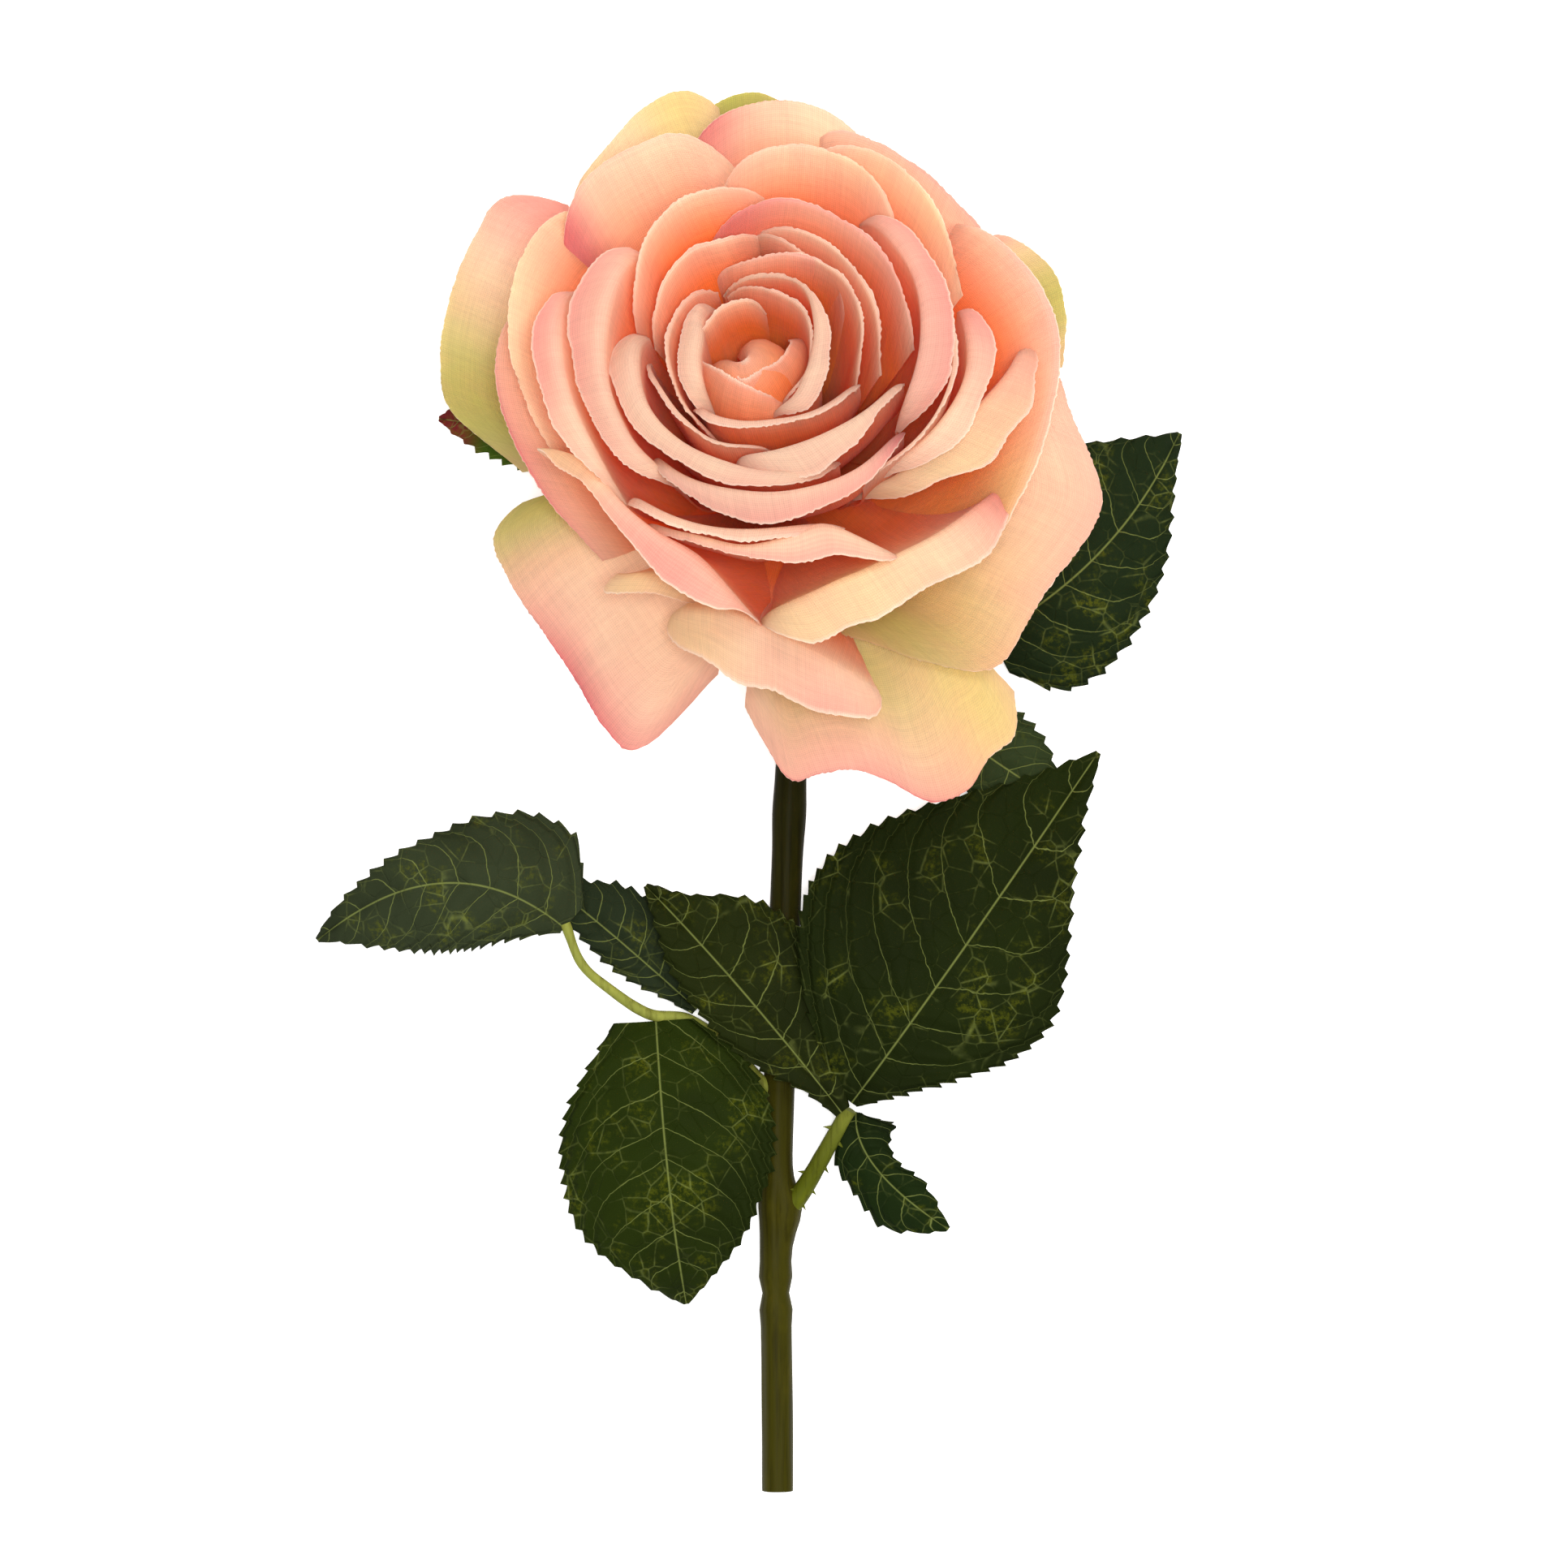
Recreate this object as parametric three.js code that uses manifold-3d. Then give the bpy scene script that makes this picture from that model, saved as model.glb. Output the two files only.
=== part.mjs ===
// A cut garden rose of cloth petals and leaves on a moulded stem, laid down on its back petals.
// Millimetres, +Y runs from the cut end of the stem to the flower, +Z points up.
import * as THREE from 'three';
import Module from 'manifold-3d';

const wasm = await Module();
wasm.setup();

// ---------------------------------------------------------------- driving dimensions

const STEM_RADIUS = 2.8;
const STEM_END_Y = -132;          // the cut end
const BLOOM_SCALE = 1.0;          // grows the whole flower about its seat
const LEAF_SCALE = 1.0;           // grows every leaf about its own base
const CLOTH = 0.5;                // thickness of petals and leaves
const GAP = 0.3;                  // air left between neighbouring pieces
const SLIVER = 0.005;             // a cut piece drops anything thinner than this

const SEAT = new THREE.Vector3(6.75, 56.4, 22 * BLOOM_SCALE);   // where the flower meets the calyx
const AXIS = new THREE.Vector3(-0.14, 0.4, 0.906);       // the way the flower faces
const RECEPTACLE = { tip: 13, tipRadius: 2, footRadius: 6.5 };
const CALYX = { drop: 9, waist: 3.4, sepals: 5, sepalLength: 28, sepalWidth: 9, sepalLean: 94 };

const PETAL_STEPS = { across: 6, wall: 3, lip: 2 };
const LIP_ROLL = 125;             // how far a lip curls over, in degrees
const TIGHTEST_CURL = 0.8;        // smallest radius a lip is curled to
const CORNER_DROP = 5;            // how far a rim falls away at its two ends
const CLAW = 0.34;                // width of a petal's foot, as a share of its rim
const LEAF_STEPS = { along: 7, half: 2 };
const STEM_STEPS = { along: 38, round: 10 };

const COLOURS = {
  petal: { color: 0xffc2a0, roughness: 0.85, metalness: 0 },
  guard: { color: 0xe6cf8e, roughness: 0.85, metalness: 0 },
  leaf: { color: 0x2e3a18, roughness: 0.6, metalness: 0 },
  stem: { color: 0x55521a, roughness: 0.45, metalness: 0 },
  stalk: { color: 0x8f9a45, roughness: 0.45, metalness: 0 },
};

// ---------------------------------------------------------------- petals, from the heart outward
//
// Each rim is described around the flower's axis: from and to are degrees, and reach (distance
// from the axis), rise (height above the seat) and lip (how far the edge rolls over) are spread
// evenly from one end of the rim to the other. lean is how the petal leaves its foot and how it
// arrives at its rim: 0 runs along the axis, 90 straight out, and less than 0 back over the heart.

const PETALS = [
  { name: 'heart_petal_1', from: 135, to: 30, lip: [0], lean: [15, -25],
    reach: [7.2, 8.6, 8.4, 7.6], rise: [49, 51.5, 51.5, 49] },
  { name: 'heart_petal_2', from: 48, to: -174, lip: [0], lean: [25, -45],
    reach: [10.2, 3.4, 3.5, 1.5], rise: [49, 51.5, 52, 50] },
  { name: 'heart_petal_3', from: 149, to: 323, lip: [0], lean: [30, -45],
    reach: [11.4, 5.2, 4.1, 5.1, 7.8], rise: [49, 51.5, 52.5, 51.5, 48] },

  { name: 'core_petal_1', from: 148, to: 79, lip: [0.5], lean: [24, 10],
    reach: [11.3, 11, 12, 12.8, 13.5], rise: [49, 50.5, 51, 50.5, 49] },
  { name: 'core_petal_2', from: 104, to: -46, lip: [0.5], lean: [28, 12],
    reach: [18.1, 15.4, 14.3, 12, 10.6, 7.5], rise: [48, 50, 50.5, 50.5, 50, 48] },
  { name: 'core_petal_3', from: 113, to: 224, lip: [0.6, 2.6, 2.4, 2.1, 1.7], lean: [30, 0],
    reach: [16.7, 10.2, 8.4, 8.3, 9.3], rise: [47, 50, 51, 51, 49] },
  { name: 'core_petal_4', from: 106, to: -66, lip: [0.3, 0.3, 0.3, 1.2, 1.8, 2.2, 2.4, 0.8], lean: [32, 0],
    reach: [18.8, 18.2, 18, 14.7, 12.3, 11.3, 10.8, 8.3], rise: [48, 51, 51.5, 51, 48] },
  { name: 'core_petal_5', from: 109, to: 242, lip: [0.5], lean: [34, 8],
    reach: [20.3, 17.1, 14.9, 13.3, 13.3, 12.9], rise: [47, 50, 51, 50.5, 50, 47] },
  { name: 'core_petal_6', from: 108, to: 29, lip: [0.5], lean: [35, 20],
    reach: [21.9, 20.9, 22.4, 23.3, 19.9], rise: [47, 51, 51, 47] },
  { name: 'core_petal_7', from: -156, to: -3, lip: [0.9], lean: [36, 0],
    reach: [10.2, 11.2, 11.5, 13, 16.7, 19.1], rise: [46, 50, 51, 51, 50, 46] },

  { name: 'inner_petal_1', from: 91, to: -9, lip: [0.5], lean: [38, 20],
    reach: [29.3, 23.9, 23.3, 21.9, 19.1], rise: [47, 51, 52, 52, 48] },
  { name: 'inner_petal_2', from: 154, to: 86, lip: [0.5], lean: [40, 20],
    reach: [19.9, 21.1, 23.1, 24.8, 25.3, 28.6], rise: [47, 51, 52, 51.5, 48] },
  { name: 'inner_petal_3', from: 164, to: 284, lip: [0.8], lean: [40, 0],
    reach: [19.3, 15.9, 15.3, 16.2, 14.6], rise: [47, 50.5, 51, 51, 48] },
  { name: 'inner_petal_4', from: -6, to: -99, lip: [0.8, 1.3, 2.6, 3.6, 2.4, 1.1], lean: [42, 0],
    reach: [27.6, 25.3, 22.4, 20.3, 18.9, 17.1], rise: [49, 52, 52.5, 52, 49] },
  { name: 'inner_petal_5', from: 90, to: 1, lip: [0.5], lean: [42, 24],
    reach: [29.1, 27.6, 26.7, 25.6, 24.9, 23.1], rise: [47, 51.5, 52, 52, 47] },
  { name: 'inner_petal_6', from: 153, to: 312, lip: [2.3, 2.9, 2.5, 2, 2.1, 2, 1.6], lean: [44, 0],
    reach: [21, 19.2, 19.3, 19.5, 20.8, 23.6, 23.2], rise: [49, 52.5, 53, 53, 53, 52, 48] },

  { name: 'ring_petal_1', from: 106, to: 8, lip: [0.5], lean: [46, 26],
    reach: [29.6, 32.2, 31.8, 31.2, 29.8], rise: [46, 52, 53, 53, 49] },
  { name: 'ring_petal_2', from: 150, to: 87, lip: [0.5], lean: [46, 26],
    reach: [24.5, 27.2, 31.7, 35, 36.2, 37.5], rise: [47, 51, 52, 51.5, 48] },
  { name: 'ring_petal_3', from: -140, to: -25, lip: [1.2, 1.5, 3, 2.8, 1.9, 1.4], lean: [48, 4],
    reach: [22.3, 24.5, 26.2, 28.8, 30.9, 30.2], rise: [48, 52, 53.5, 53, 49] },
  { name: 'ring_petal_4', from: 57, to: -24, lip: [0.5, 1.9, 2.4, 3.3, 3.5, 2.2], lean: [48, 4],
    reach: [36.4, 34.5, 33.8, 32.4, 31, 28.6], rise: [48, 53, 53, 52.5, 48] },
  { name: 'ring_petal_5', from: 127, to: 239, lip: [1.7, 4.3, 4, 3.1, 2.6, 2.3, 1.1], lean: [50, 5],
    reach: [33, 28.2, 25.7, 24.9, 24.7, 25.1, 24.2], rise: [49, 53, 54, 54, 53, 49] },
  { name: 'ring_petal_6', from: 26, to: -47, lip: [0.8], lean: [50, 5],
    reach: [36.9, 37.5, 37.5, 35.2, 28.9], rise: [46, 51.5, 51.5, 50.5, 46] },
  { name: 'ring_petal_7', from: 224, to: 299, lip: [1.3], lean: [52, 5],
    reach: [30.4, 32, 32.8, 33.4, 33.6], rise: [46, 50, 50.5, 50, 46] },

  { name: 'middle_petal_1', from: 98, to: 47, lip: [0.5], lean: [55, 34],
    reach: [42.4, 44, 44.8, 44.5, 42.9, 38.7], rise: [44, 49, 50, 50, 46] },
  { name: 'middle_petal_2', from: 78, to: 25, lip: [0.5], lean: [58, 36],
    reach: [49.8, 49.7, 47.5, 44.7, 41.5], rise: [40, 45, 47.5, 48, 43] },
  { name: 'middle_petal_3', from: 146, to: 225, lip: [0.4, 2.8, 3, 2.5, 1.9, 0.4], lean: [55, 8],
    reach: [40.2, 35.4, 33, 31.7, 31.4, 32.3], rise: [44, 51, 53, 53, 48] },
  { name: 'middle_petal_4', from: -128, to: -53, lip: [1.4, 0.9, 1, 1.3, 2.8, 3.9, 2.2], lean: [56, 8],
    reach: [31.8, 33.2, 34, 35.3, 35.1, 34.3, 41.9], rise: [43, 48, 49, 48.5, 42] },
  { name: 'middle_petal_5', from: 20, to: -41, lip: [0.5, 2.3, 2.8, 2.7, 2.8, 1.5], lean: [56, 8],
    reach: [39.4, 39.6, 39.9, 38.3, 35.3, 29.1], rise: [44, 49, 49.5, 49, 44] },
  { name: 'middle_petal_6', from: -170, to: -91, lip: [0.3, 2.2, 1.9, 1.9, 2.8, 4.2, 0.3], lean: [60, 10],
    reach: [41, 34.7, 33.2, 34.1, 35, 36.1, 41.9], rise: [41, 46, 48, 48, 45, 36] },
  { name: 'middle_petal_7', from: 11, to: -48, lip: [1.3, 4, 4.6, 4.6, 3.9, 1.4], lean: [60, 20],
    reach: [48.2, 43, 38.7, 35.2, 31.4, 24.5], rise: [37, 43, 44, 42, 36] },
  { name: 'middle_petal_8', from: 128, to: 190, lip: [0.5], lean: [66, 60],
    reach: [59.7, 54.7, 50.4, 46.3, 42, 38.1], rise: [30, 38, 40, 38.5, 34] },
  { name: 'middle_petal_9', from: 48, to: -34, lip: [0.3, 0.6, 0.9, 1.1, 0.8], lean: [66, 50],
    reach: [50, 52.5, 54.5, 51.5, 48], rise: [33, 40, 40.5, 36, 28] },

  { name: 'outer_petal_1', from: -17, to: -91, lip: [2.3, 3.3, 4.6, 4.6, 4.6, 4.6, 2], lean: [66, 25],
    reach: [45.5, 44.9, 43.7, 41.9, 40.9, 40.7, 38.8], rise: [26, 33, 37, 38, 37, 30] },
  { name: 'outer_petal_2', from: 151, to: 210, lip: [0.5], lean: [72, 62],
    reach: [53.9, 51.1, 47.9, 44.3, 41.1, 37.2], rise: [29, 32, 30, 26, 17] },
  { name: 'outer_petal_3', from: -139, to: -114, lip: [1.9, 2.2, 2.4, 2.2, 1.7], lean: [70, 30],
    reach: [37.3, 38.7, 36.9, 35.2, 34.2], rise: [20, 27, 28, 24] },
  { name: 'outer_petal_4', from: 139, to: 96, lip: [0.8], lean: [70, 50],
    reach: [48.9, 54.6, 57.6, 57.7, 58, 53.8], rise: [29, 34, 36, 35, 29] },
  { name: 'outer_petal_5', from: 80, to: 29, lip: [0.6], lean: [72, 50],
    reach: [59.4, 56.4, 54, 52.6, 52.4], rise: [31, 34, 34.5, 33, 29] },
  { name: 'outer_petal_6', from: -119, to: -71, lip: [2.8, 4.4, 5, 5, 5, 3.3], lean: [74, 40],
    reach: [37.8, 37.1, 37.5, 40.4, 45.8, 54.5], rise: [20, 24, 26, 25, 15] },
  { name: 'outer_petal_7', from: 104, to: 72, lip: [0.6], lean: [76, 62],
    reach: [61.6, 65.4, 65.8, 64.2, 60.6], rise: [24, 26, 28, 27.5, 25] },

  { name: 'guard_petal_1', from: 125, to: 98, lip: [0.6], lean: [82, 84], tint: 'guard',
    reach: [66.3, 68.4, 71.9, 76.3, 78.2, 73.9], rise: [19, 19.5, 18, 16, 17] },
  { name: 'guard_petal_2', from: 45, to: 16, lip: [0.6], lean: [82, 105], tint: 'guard',
    reach: [56, 59.1, 60.6, 58.9, 55.2], rise: [22, 21, 19.5, 18, 17] },
  { name: 'guard_petal_3', from: 14, to: -74, lip: [0.3], lean: [84, 112], tint: 'guard',
    reach: [54.1, 54.6, 58, 60.8, 59.2, 57, 57.4, 57.6, 49, 40, 34.6],
    rise: [16, 14, 11, 10, 10, 10, 8.5, 7, 8, 9, 11] },
  { name: 'guard_petal_4', from: -176, to: -110, lip: [0.3], lean: [84, 118], tint: 'guard',
    reach: [48.3, 54.1, 53.9, 53.4, 52.9, 53.4, 55.2, 57.9, 57.6, 38.5],
    rise: [12, 8, 7, 5.5, 4, 2.5, 1, 2.5] },
  { name: 'guard_petal_5', from: 125, to: 174, lip: [0.4], lean: [88, 104], tint: 'guard',
    reach: [70.6, 77.7, 74.8, 71.8, 69, 66.3, 62.5, 49.3], rise: [13, 13, 15, 16, 16, 14, 8] },
  { name: 'guard_petal_6', from: 260, to: 314, lip: [0.3], lean: [90, 122], tint: 'guard',
    reach: [44, 51, 58.5, 59, 59.5, 63, 69.5, 71, 68, 67, 60], rise: [3, 1, -1, 1, 1, 0, -2, -1, 0, 0, 2] },
  { name: 'guard_petal_7', from: 104, to: 88, lip: [0.3], lean: [92, 88], corner: 0.6, tint: 'guard',
    reach: [70, 75.4, 76.4, 73], rise: [13, 13, 13, 13] },
];

// ---------------------------------------------------------------- leaves
//
// A leaf runs from its base along a midrib that bows towards a middle point and ends at its tip.
// left and right are its half widths, spread evenly from base to tip, looking along the midrib
// from above. droop is how far each edge hangs below the midrib where the leaf is widest.

const LEAVES = [
  { name: 'right_big_leaf', base: [19.2, -58.6, 8.6], middle: [39, -31, 15], tip: [65.7, 7.1, 1.6],
    left: [1.2, 9, 19, 25, 26.5, 22.5, 15, 7.5, 0.4],
    right: [1.2, 11, 19, 24.5, 25, 20, 13.5, 7, 0.4], droop: [3, 8] },
  { name: 'right_cross_leaf', base: [17.2, -60.4, 9.4], middle: [-1, -38, 10.5], tip: [-19.5, -17.9, 9.6],
    left: [1.2, 3, 6.4, 8.4, 8.8, 8.5, 7, 3.8, 0.4],
    right: [1.2, 3, 7, 11, 15, 16, 12.5, 5, 0.4], droop: [2, 0.4] },
  { name: 'right_curled_leaf', base: [20, -60.6, 4.8], middle: [23.2, -71, 7], tip: [37.4, -82.7, 1.4],
    left: [1, 5.5, 7, 5.5, 5, 5.5, 6, 4, 0.4],
    right: [1, 3, 4, 4, 4.5, 5.5, 6, 4, 0.4], droop: [4, 4] },
  { name: 'left_far_leaf', base: [-34.8, -25, 8.6], middle: [-55, -8, 15], tip: [-81.5, -28.2, 1.2],
    left: [1.2, 6, 10, 12.5, 13, 12.4, 10, 5.6, 0.4],
    right: [3, 15, 17, 14.5, 10, 7.4, 5, 2.8, 0.4], droop: [7, 5] },
  { name: 'left_under_leaf', base: [-13.6, -39.6, 4.4], middle: [-26, -27, 5], tip: [-39.6, -16.4, 1.8],
    left: [1, 2.5, 4, 4.8, 4.6, 4, 3, 1.6, 0.4],
    right: [1, 6, 9, 10.5, 10.5, 9, 6, 3, 0.4], droop: [1.5, 1] },
  { name: 'left_low_leaf', base: [-17.6, -45.4, 6.4], middle: [-17, -72, 14], tip: [-13.4, -96.8, 1.2],
    left: [4, 12, 18.6, 20.4, 20, 16.6, 12, 7.4, 0.4],
    right: [5, 10.5, 13.5, 16.5, 18.5, 19, 17, 12, 0.4], droop: [2.2, 8] },
  { name: 'upper_big_leaf', base: [45.2, 29.2, 4.6], middle: [66, 45, 12], tip: [81, 67.3, 1.4],
    left: [1.2, 8, 12.5, 15.5, 17, 17, 14.5, 8, 0.4],
    right: [4, 13, 16, 15.5, 13, 9.5, 5.4, 2, 0.4], droop: [3, 6] },
  { name: 'upper_small_leaf', base: [30.4, 17, 2.6], middle: [44.6, 6.6, 3.4], tip: [58.6, -2.4, 1.2],
    left: [1, 5, 8.5, 10, 10, 9.5, 8, 5, 0.4],
    right: [1, 4, 7, 8, 8, 7.5, 6, 3.6, 0.4], droop: [0.8, 0.8] },
  { name: 'back_left_leaf', base: [-24, 45, 5], middle: [-42, 56, 8], tip: [-58.5, 70, 3],
    left: [1, 5, 8, 9.5, 9.5, 8.5, 6.5, 3.5, 0.4],
    right: [1, 5, 8, 9.5, 9.5, 8.5, 6.5, 3.5, 0.4], droop: [2, 2],
    stalk: [[4.4, 34, 3.2], [-8, 38, 3.8], [-24, 45, 4.8]] },
];

// ---------------------------------------------------------------- stem and stalks

const STEM_ROUTE = [
  [5.3, STEM_END_Y, STEM_RADIUS], [5.2, -112, STEM_RADIUS], [4.9, -85, STEM_RADIUS],
  [5.3, -65, STEM_RADIUS], [6, -43, STEM_RADIUS], [6.8, -20, STEM_RADIUS],
  [7.6, 0, STEM_RADIUS], [8.6, 22, STEM_RADIUS + 0.1],
];
const NECK = [16, 9, 4, 0];           // how far short of the calyx each point of the bent neck lies
const STEM_KNUCKLES = [
  { y: -95, width: 1.6, swell: -0.5 },      // pinch where the tube is joined
  { y: -98, width: 1.4, swell: 0.2 },
  { y: -77, width: 4, swell: 0.45 },        // node that carries the right spray
  { y: -4, width: 5, swell: 0.3 },
];

// A stalk's route starts beside the stem: its first point is measured from the stem's skin.
const STALKS = [
  { name: 'right_stalk', radii: [1.7, 1.35], foot: { x: 5.1, side: 1, clear: 1.5, y: -76.2, z: 4 },
    route: [[13, -70, 6], [17, -63.4, 7.2]] },
  { name: 'left_stalk', radii: [1.4, 0.8], foot: { x: 5.5, side: -1, clear: 1.5, y: -54, z: 3.4 },
    route: [[-4, -48.4, 4], [-11.5, -43.2, 4.8], [-19, -42, 6.4], [-26.3, -37.3, 8],
      [-31.6, -32.4, 8.6], [-34.4, -26.4, 8.6]] },
  { name: 'upper_right_stalk', radii: [1.3, 0.9], foot: { x: 8.2, side: 1, clear: 1.8, y: 12, z: 3 },
    route: [[22, 17.6, 3], [34, 23.2, 3.6], [44.4, 28.6, 4.4]] },
];

// ---------------------------------------------------------------- the flower's own frame

AXIS.normalize();
const ACROSS = new THREE.Vector3(1, 0, 0).addScaledVector(AXIS, -AXIS.x).normalize();
const BEYOND = new THREE.Vector3().crossVectors(AXIS, ACROSS);

function flowerPoint(degrees, radius, height) {
  const turn = THREE.MathUtils.degToRad(degrees);
  return SEAT.clone()
    .addScaledVector(ACROSS, BLOOM_SCALE * radius * Math.cos(turn))
    .addScaledVector(BEYOND, BLOOM_SCALE * radius * Math.sin(turn))
    .addScaledVector(AXIS, BLOOM_SCALE * height);
}

// A value spread evenly along 0..1, joined by a smooth curve through every one.
function spread(values, at) {
  if (values.length === 1) return values[0];
  const place = THREE.MathUtils.clamp(at, 0, 1) * (values.length - 1);
  const i = Math.min(Math.floor(place), values.length - 2);
  const t = place - i;
  const b = values[i];
  const c = values[i + 1];
  const a = i > 0 ? values[i - 1] : 2 * b - c;
  const d = i + 2 < values.length ? values[i + 2] : 2 * c - b;
  return b + 0.5 * t * (c - a + t * (2 * a - 5 * b + 4 * c - d + t * (3 * (b - c) + d - a)));
}

// ---------------------------------------------------------------- closed skins

// Turns rows of points on a thin surface into one closed body of the given thickness.
function shell(rows, thickness) {
  const high = rows.length;
  const wide = rows[0].length;
  const at = (i, j) => rows[THREE.MathUtils.clamp(i, 0, high - 1)][THREE.MathUtils.clamp(j, 0, wide - 1)];
  const points = [];
  for (const side of [1, -1]) {
    for (let i = 0; i < high; i++) {
      for (let j = 0; j < wide; j++) {
        const along = at(i + 1, j).clone().sub(at(i - 1, j));
        const over = at(i, j + 1).clone().sub(at(i, j - 1));
        const normal = over.cross(along).normalize();
        points.push(at(i, j).clone().addScaledVector(normal, side * thickness / 2));
      }
    }
  }
  const index = [];
  const quad = (a, b, c, d) => index.push(a, b, c, a, c, d);
  const id = (side, i, j) => side * high * wide + i * wide + j;
  for (let i = 0; i < high - 1; i++) {
    for (let j = 0; j < wide - 1; j++) {
      quad(id(0, i, j), id(0, i, j + 1), id(0, i + 1, j + 1), id(0, i + 1, j));
      quad(id(1, i, j), id(1, i + 1, j), id(1, i + 1, j + 1), id(1, i, j + 1));
    }
    quad(id(0, i, 0), id(0, i + 1, 0), id(1, i + 1, 0), id(1, i, 0));
    quad(id(0, i, wide - 1), id(1, i, wide - 1), id(1, i + 1, wide - 1), id(0, i + 1, wide - 1));
  }
  for (let j = 0; j < wide - 1; j++) {
    quad(id(0, 0, j), id(1, 0, j), id(1, 0, j + 1), id(0, 0, j + 1));
    quad(id(0, high - 1, j), id(0, high - 1, j + 1), id(1, high - 1, j + 1), id(1, high - 1, j));
  }
  return closedGeometry(points, index);
}

function closedGeometry(points, index) {
  const geometry = new THREE.BufferGeometry();
  geometry.setAttribute('position', new THREE.Float32BufferAttribute(points.flatMap((p) => p.toArray()), 3));
  geometry.setIndex(index);
  geometry.computeVertexNormals();
  return geometry;
}

// A closed round bar along a curve, with a radius that may change along it.
function bar(curve, radiusAt, steps, sides) {
  const frames = curve.computeFrenetFrames(steps, false);
  const points = [];
  for (let i = 0; i <= steps; i++) {
    const centre = curve.getPointAt(i / steps);
    const radius = radiusAt(i / steps, centre);
    for (let k = 0; k < sides; k++) {
      const turn = 2 * Math.PI * k / sides;
      points.push(centre.clone()
        .addScaledVector(frames.normals[i], radius * Math.cos(turn))
        .addScaledVector(frames.binormals[i], radius * Math.sin(turn)));
    }
  }
  const index = [];
  for (let i = 0; i < steps; i++) {
    for (let k = 0; k < sides; k++) {
      const next = (k + 1) % sides;
      const a = i * sides + k;
      const b = i * sides + next;
      index.push(a, b, b + sides, a, b + sides, a + sides);
    }
  }
  for (let k = 1; k < sides - 1; k++) {
    index.push(0, k + 1, k);
    const last = steps * sides;
    index.push(last, last + k, last + k + 1);
  }
  return closedGeometry(points, index);
}

// ---------------------------------------------------------------- petals

function petalRows(petal, rank) {
  const low = rank / (PETALS.length - 1);
  const footHeight = RECEPTACLE.tip * (1 - low);
  const footRadius = receptacleRadius(footHeight) + GAP + CLOTH / 2;
  const middle = (petal.from + petal.to) / 2;
  const half = (petal.to - petal.from) / 2;
  const [leave, arrive] = petal.lean.map(THREE.MathUtils.degToRad);
  const rows = [];
  const hasLip = Math.max(...petal.lip) > 0;
  const across = Math.max(PETAL_STEPS.across, petal.reach.length - 1);
  const lastRow = PETAL_STEPS.wall + (hasLip ? PETAL_STEPS.lip : 0);
  for (let row = 0; row <= lastRow; row++) {
    const line = [];
    for (let j = 0; j <= across; j++) {
      const s = 2 * j / across - 1;
      const at = (s + 1) / 2;
      const reach = spread(petal.reach, at);
      const rise = spread(petal.rise, at) - (petal.corner ?? CORNER_DROP) * s ** 8;
      const chord = Math.hypot(reach - footRadius, rise - footHeight);
      const pull = 0.38 * chord;
      let radius;
      let height;
      let opened = 1;
      if (row <= PETAL_STEPS.wall) {
        const t = row / PETAL_STEPS.wall;
        const wall = new THREE.CubicBezierCurve(
          new THREE.Vector2(footRadius, footHeight),
          new THREE.Vector2(footRadius + pull * Math.sin(leave), footHeight + pull * Math.cos(leave)),
          new THREE.Vector2(reach - pull * Math.sin(arrive), rise - pull * Math.cos(arrive)),
          new THREE.Vector2(reach, rise),
        );
        const place = wall.getPoint(t);
        radius = place.x;
        height = place.y;
        opened = CLAW + (1 - CLAW) * Math.sin(Math.PI / 2 * Math.min(1, t / 0.6));
      } else {
        const lip = spread(petal.lip, at) * (1 - 0.7 * s ** 4);
        const end = Math.min(arrive + THREE.MathUtils.degToRad(LIP_ROLL), Math.PI);
        const bend = Math.max(lip / (Math.cos(arrive) - Math.cos(end)), TIGHTEST_CURL);
        const fullCurl = Math.acos(Math.max(Math.cos(arrive) - lip / bend, -1)) - arrive;
        const curl = fullCurl * (row - PETAL_STEPS.wall) / PETAL_STEPS.lip;
        radius = reach + bend * (Math.cos(arrive) - Math.cos(arrive + curl));
        height = rise + bend * (Math.sin(arrive + curl) - Math.sin(arrive));
      }
      line.push(flowerPoint(middle + half * s * opened, radius, height));
    }
    rows.push(line);
  }
  return rows;
}

function receptacleRadius(height) {
  const down = 1 - height / RECEPTACLE.tip;
  return RECEPTACLE.tipRadius + (RECEPTACLE.footRadius - RECEPTACLE.tipRadius) * down;
}

// ---------------------------------------------------------------- solids that give way

function toSolid(geometry) {
  return new wasm.Manifold(new wasm.Mesh({
    numProp: 3,
    vertProperties: new Float32Array(geometry.getAttribute('position').array),
    triVerts: new Uint32Array(geometry.getIndex().array),
  }));
}

function toGeometry(solid) {
  const mesh = solid.getMesh();
  const geometry = new THREE.BufferGeometry();
  geometry.setAttribute('position', new THREE.BufferAttribute(new Float32Array(mesh.vertProperties), 3));
  geometry.setIndex(new THREE.BufferAttribute(new Uint32Array(mesh.triVerts), 1));
  geometry.computeVertexNormals();
  return geometry;
}

function biggestPiece(solid) {
  const pieces = solid.decompose();
  pieces.sort((a, b) => b.volume() - a.volume());
  return pieces[0];
}

function boxesMeet(a, b) {
  return [0, 1, 2].every((k) => a.min[k] < b.max[k] && b.min[k] < a.max[k]);
}

// Cuts a petal or leaf back wherever it would touch a piece that was made before it.
function givingWay(solid, keepOuts) {
  let left = solid;
  for (const keepOut of keepOuts) {
    if (!boxesMeet(left.boundingBox(), keepOut.boundingBox())) continue;
    if (left.intersect(keepOut).volume() === 0) continue;
    left = biggestPiece(left.subtract(keepOut).simplify(SLIVER));
  }
  return left;
}

// ---------------------------------------------------------------- leaves, calyx, stem

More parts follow.
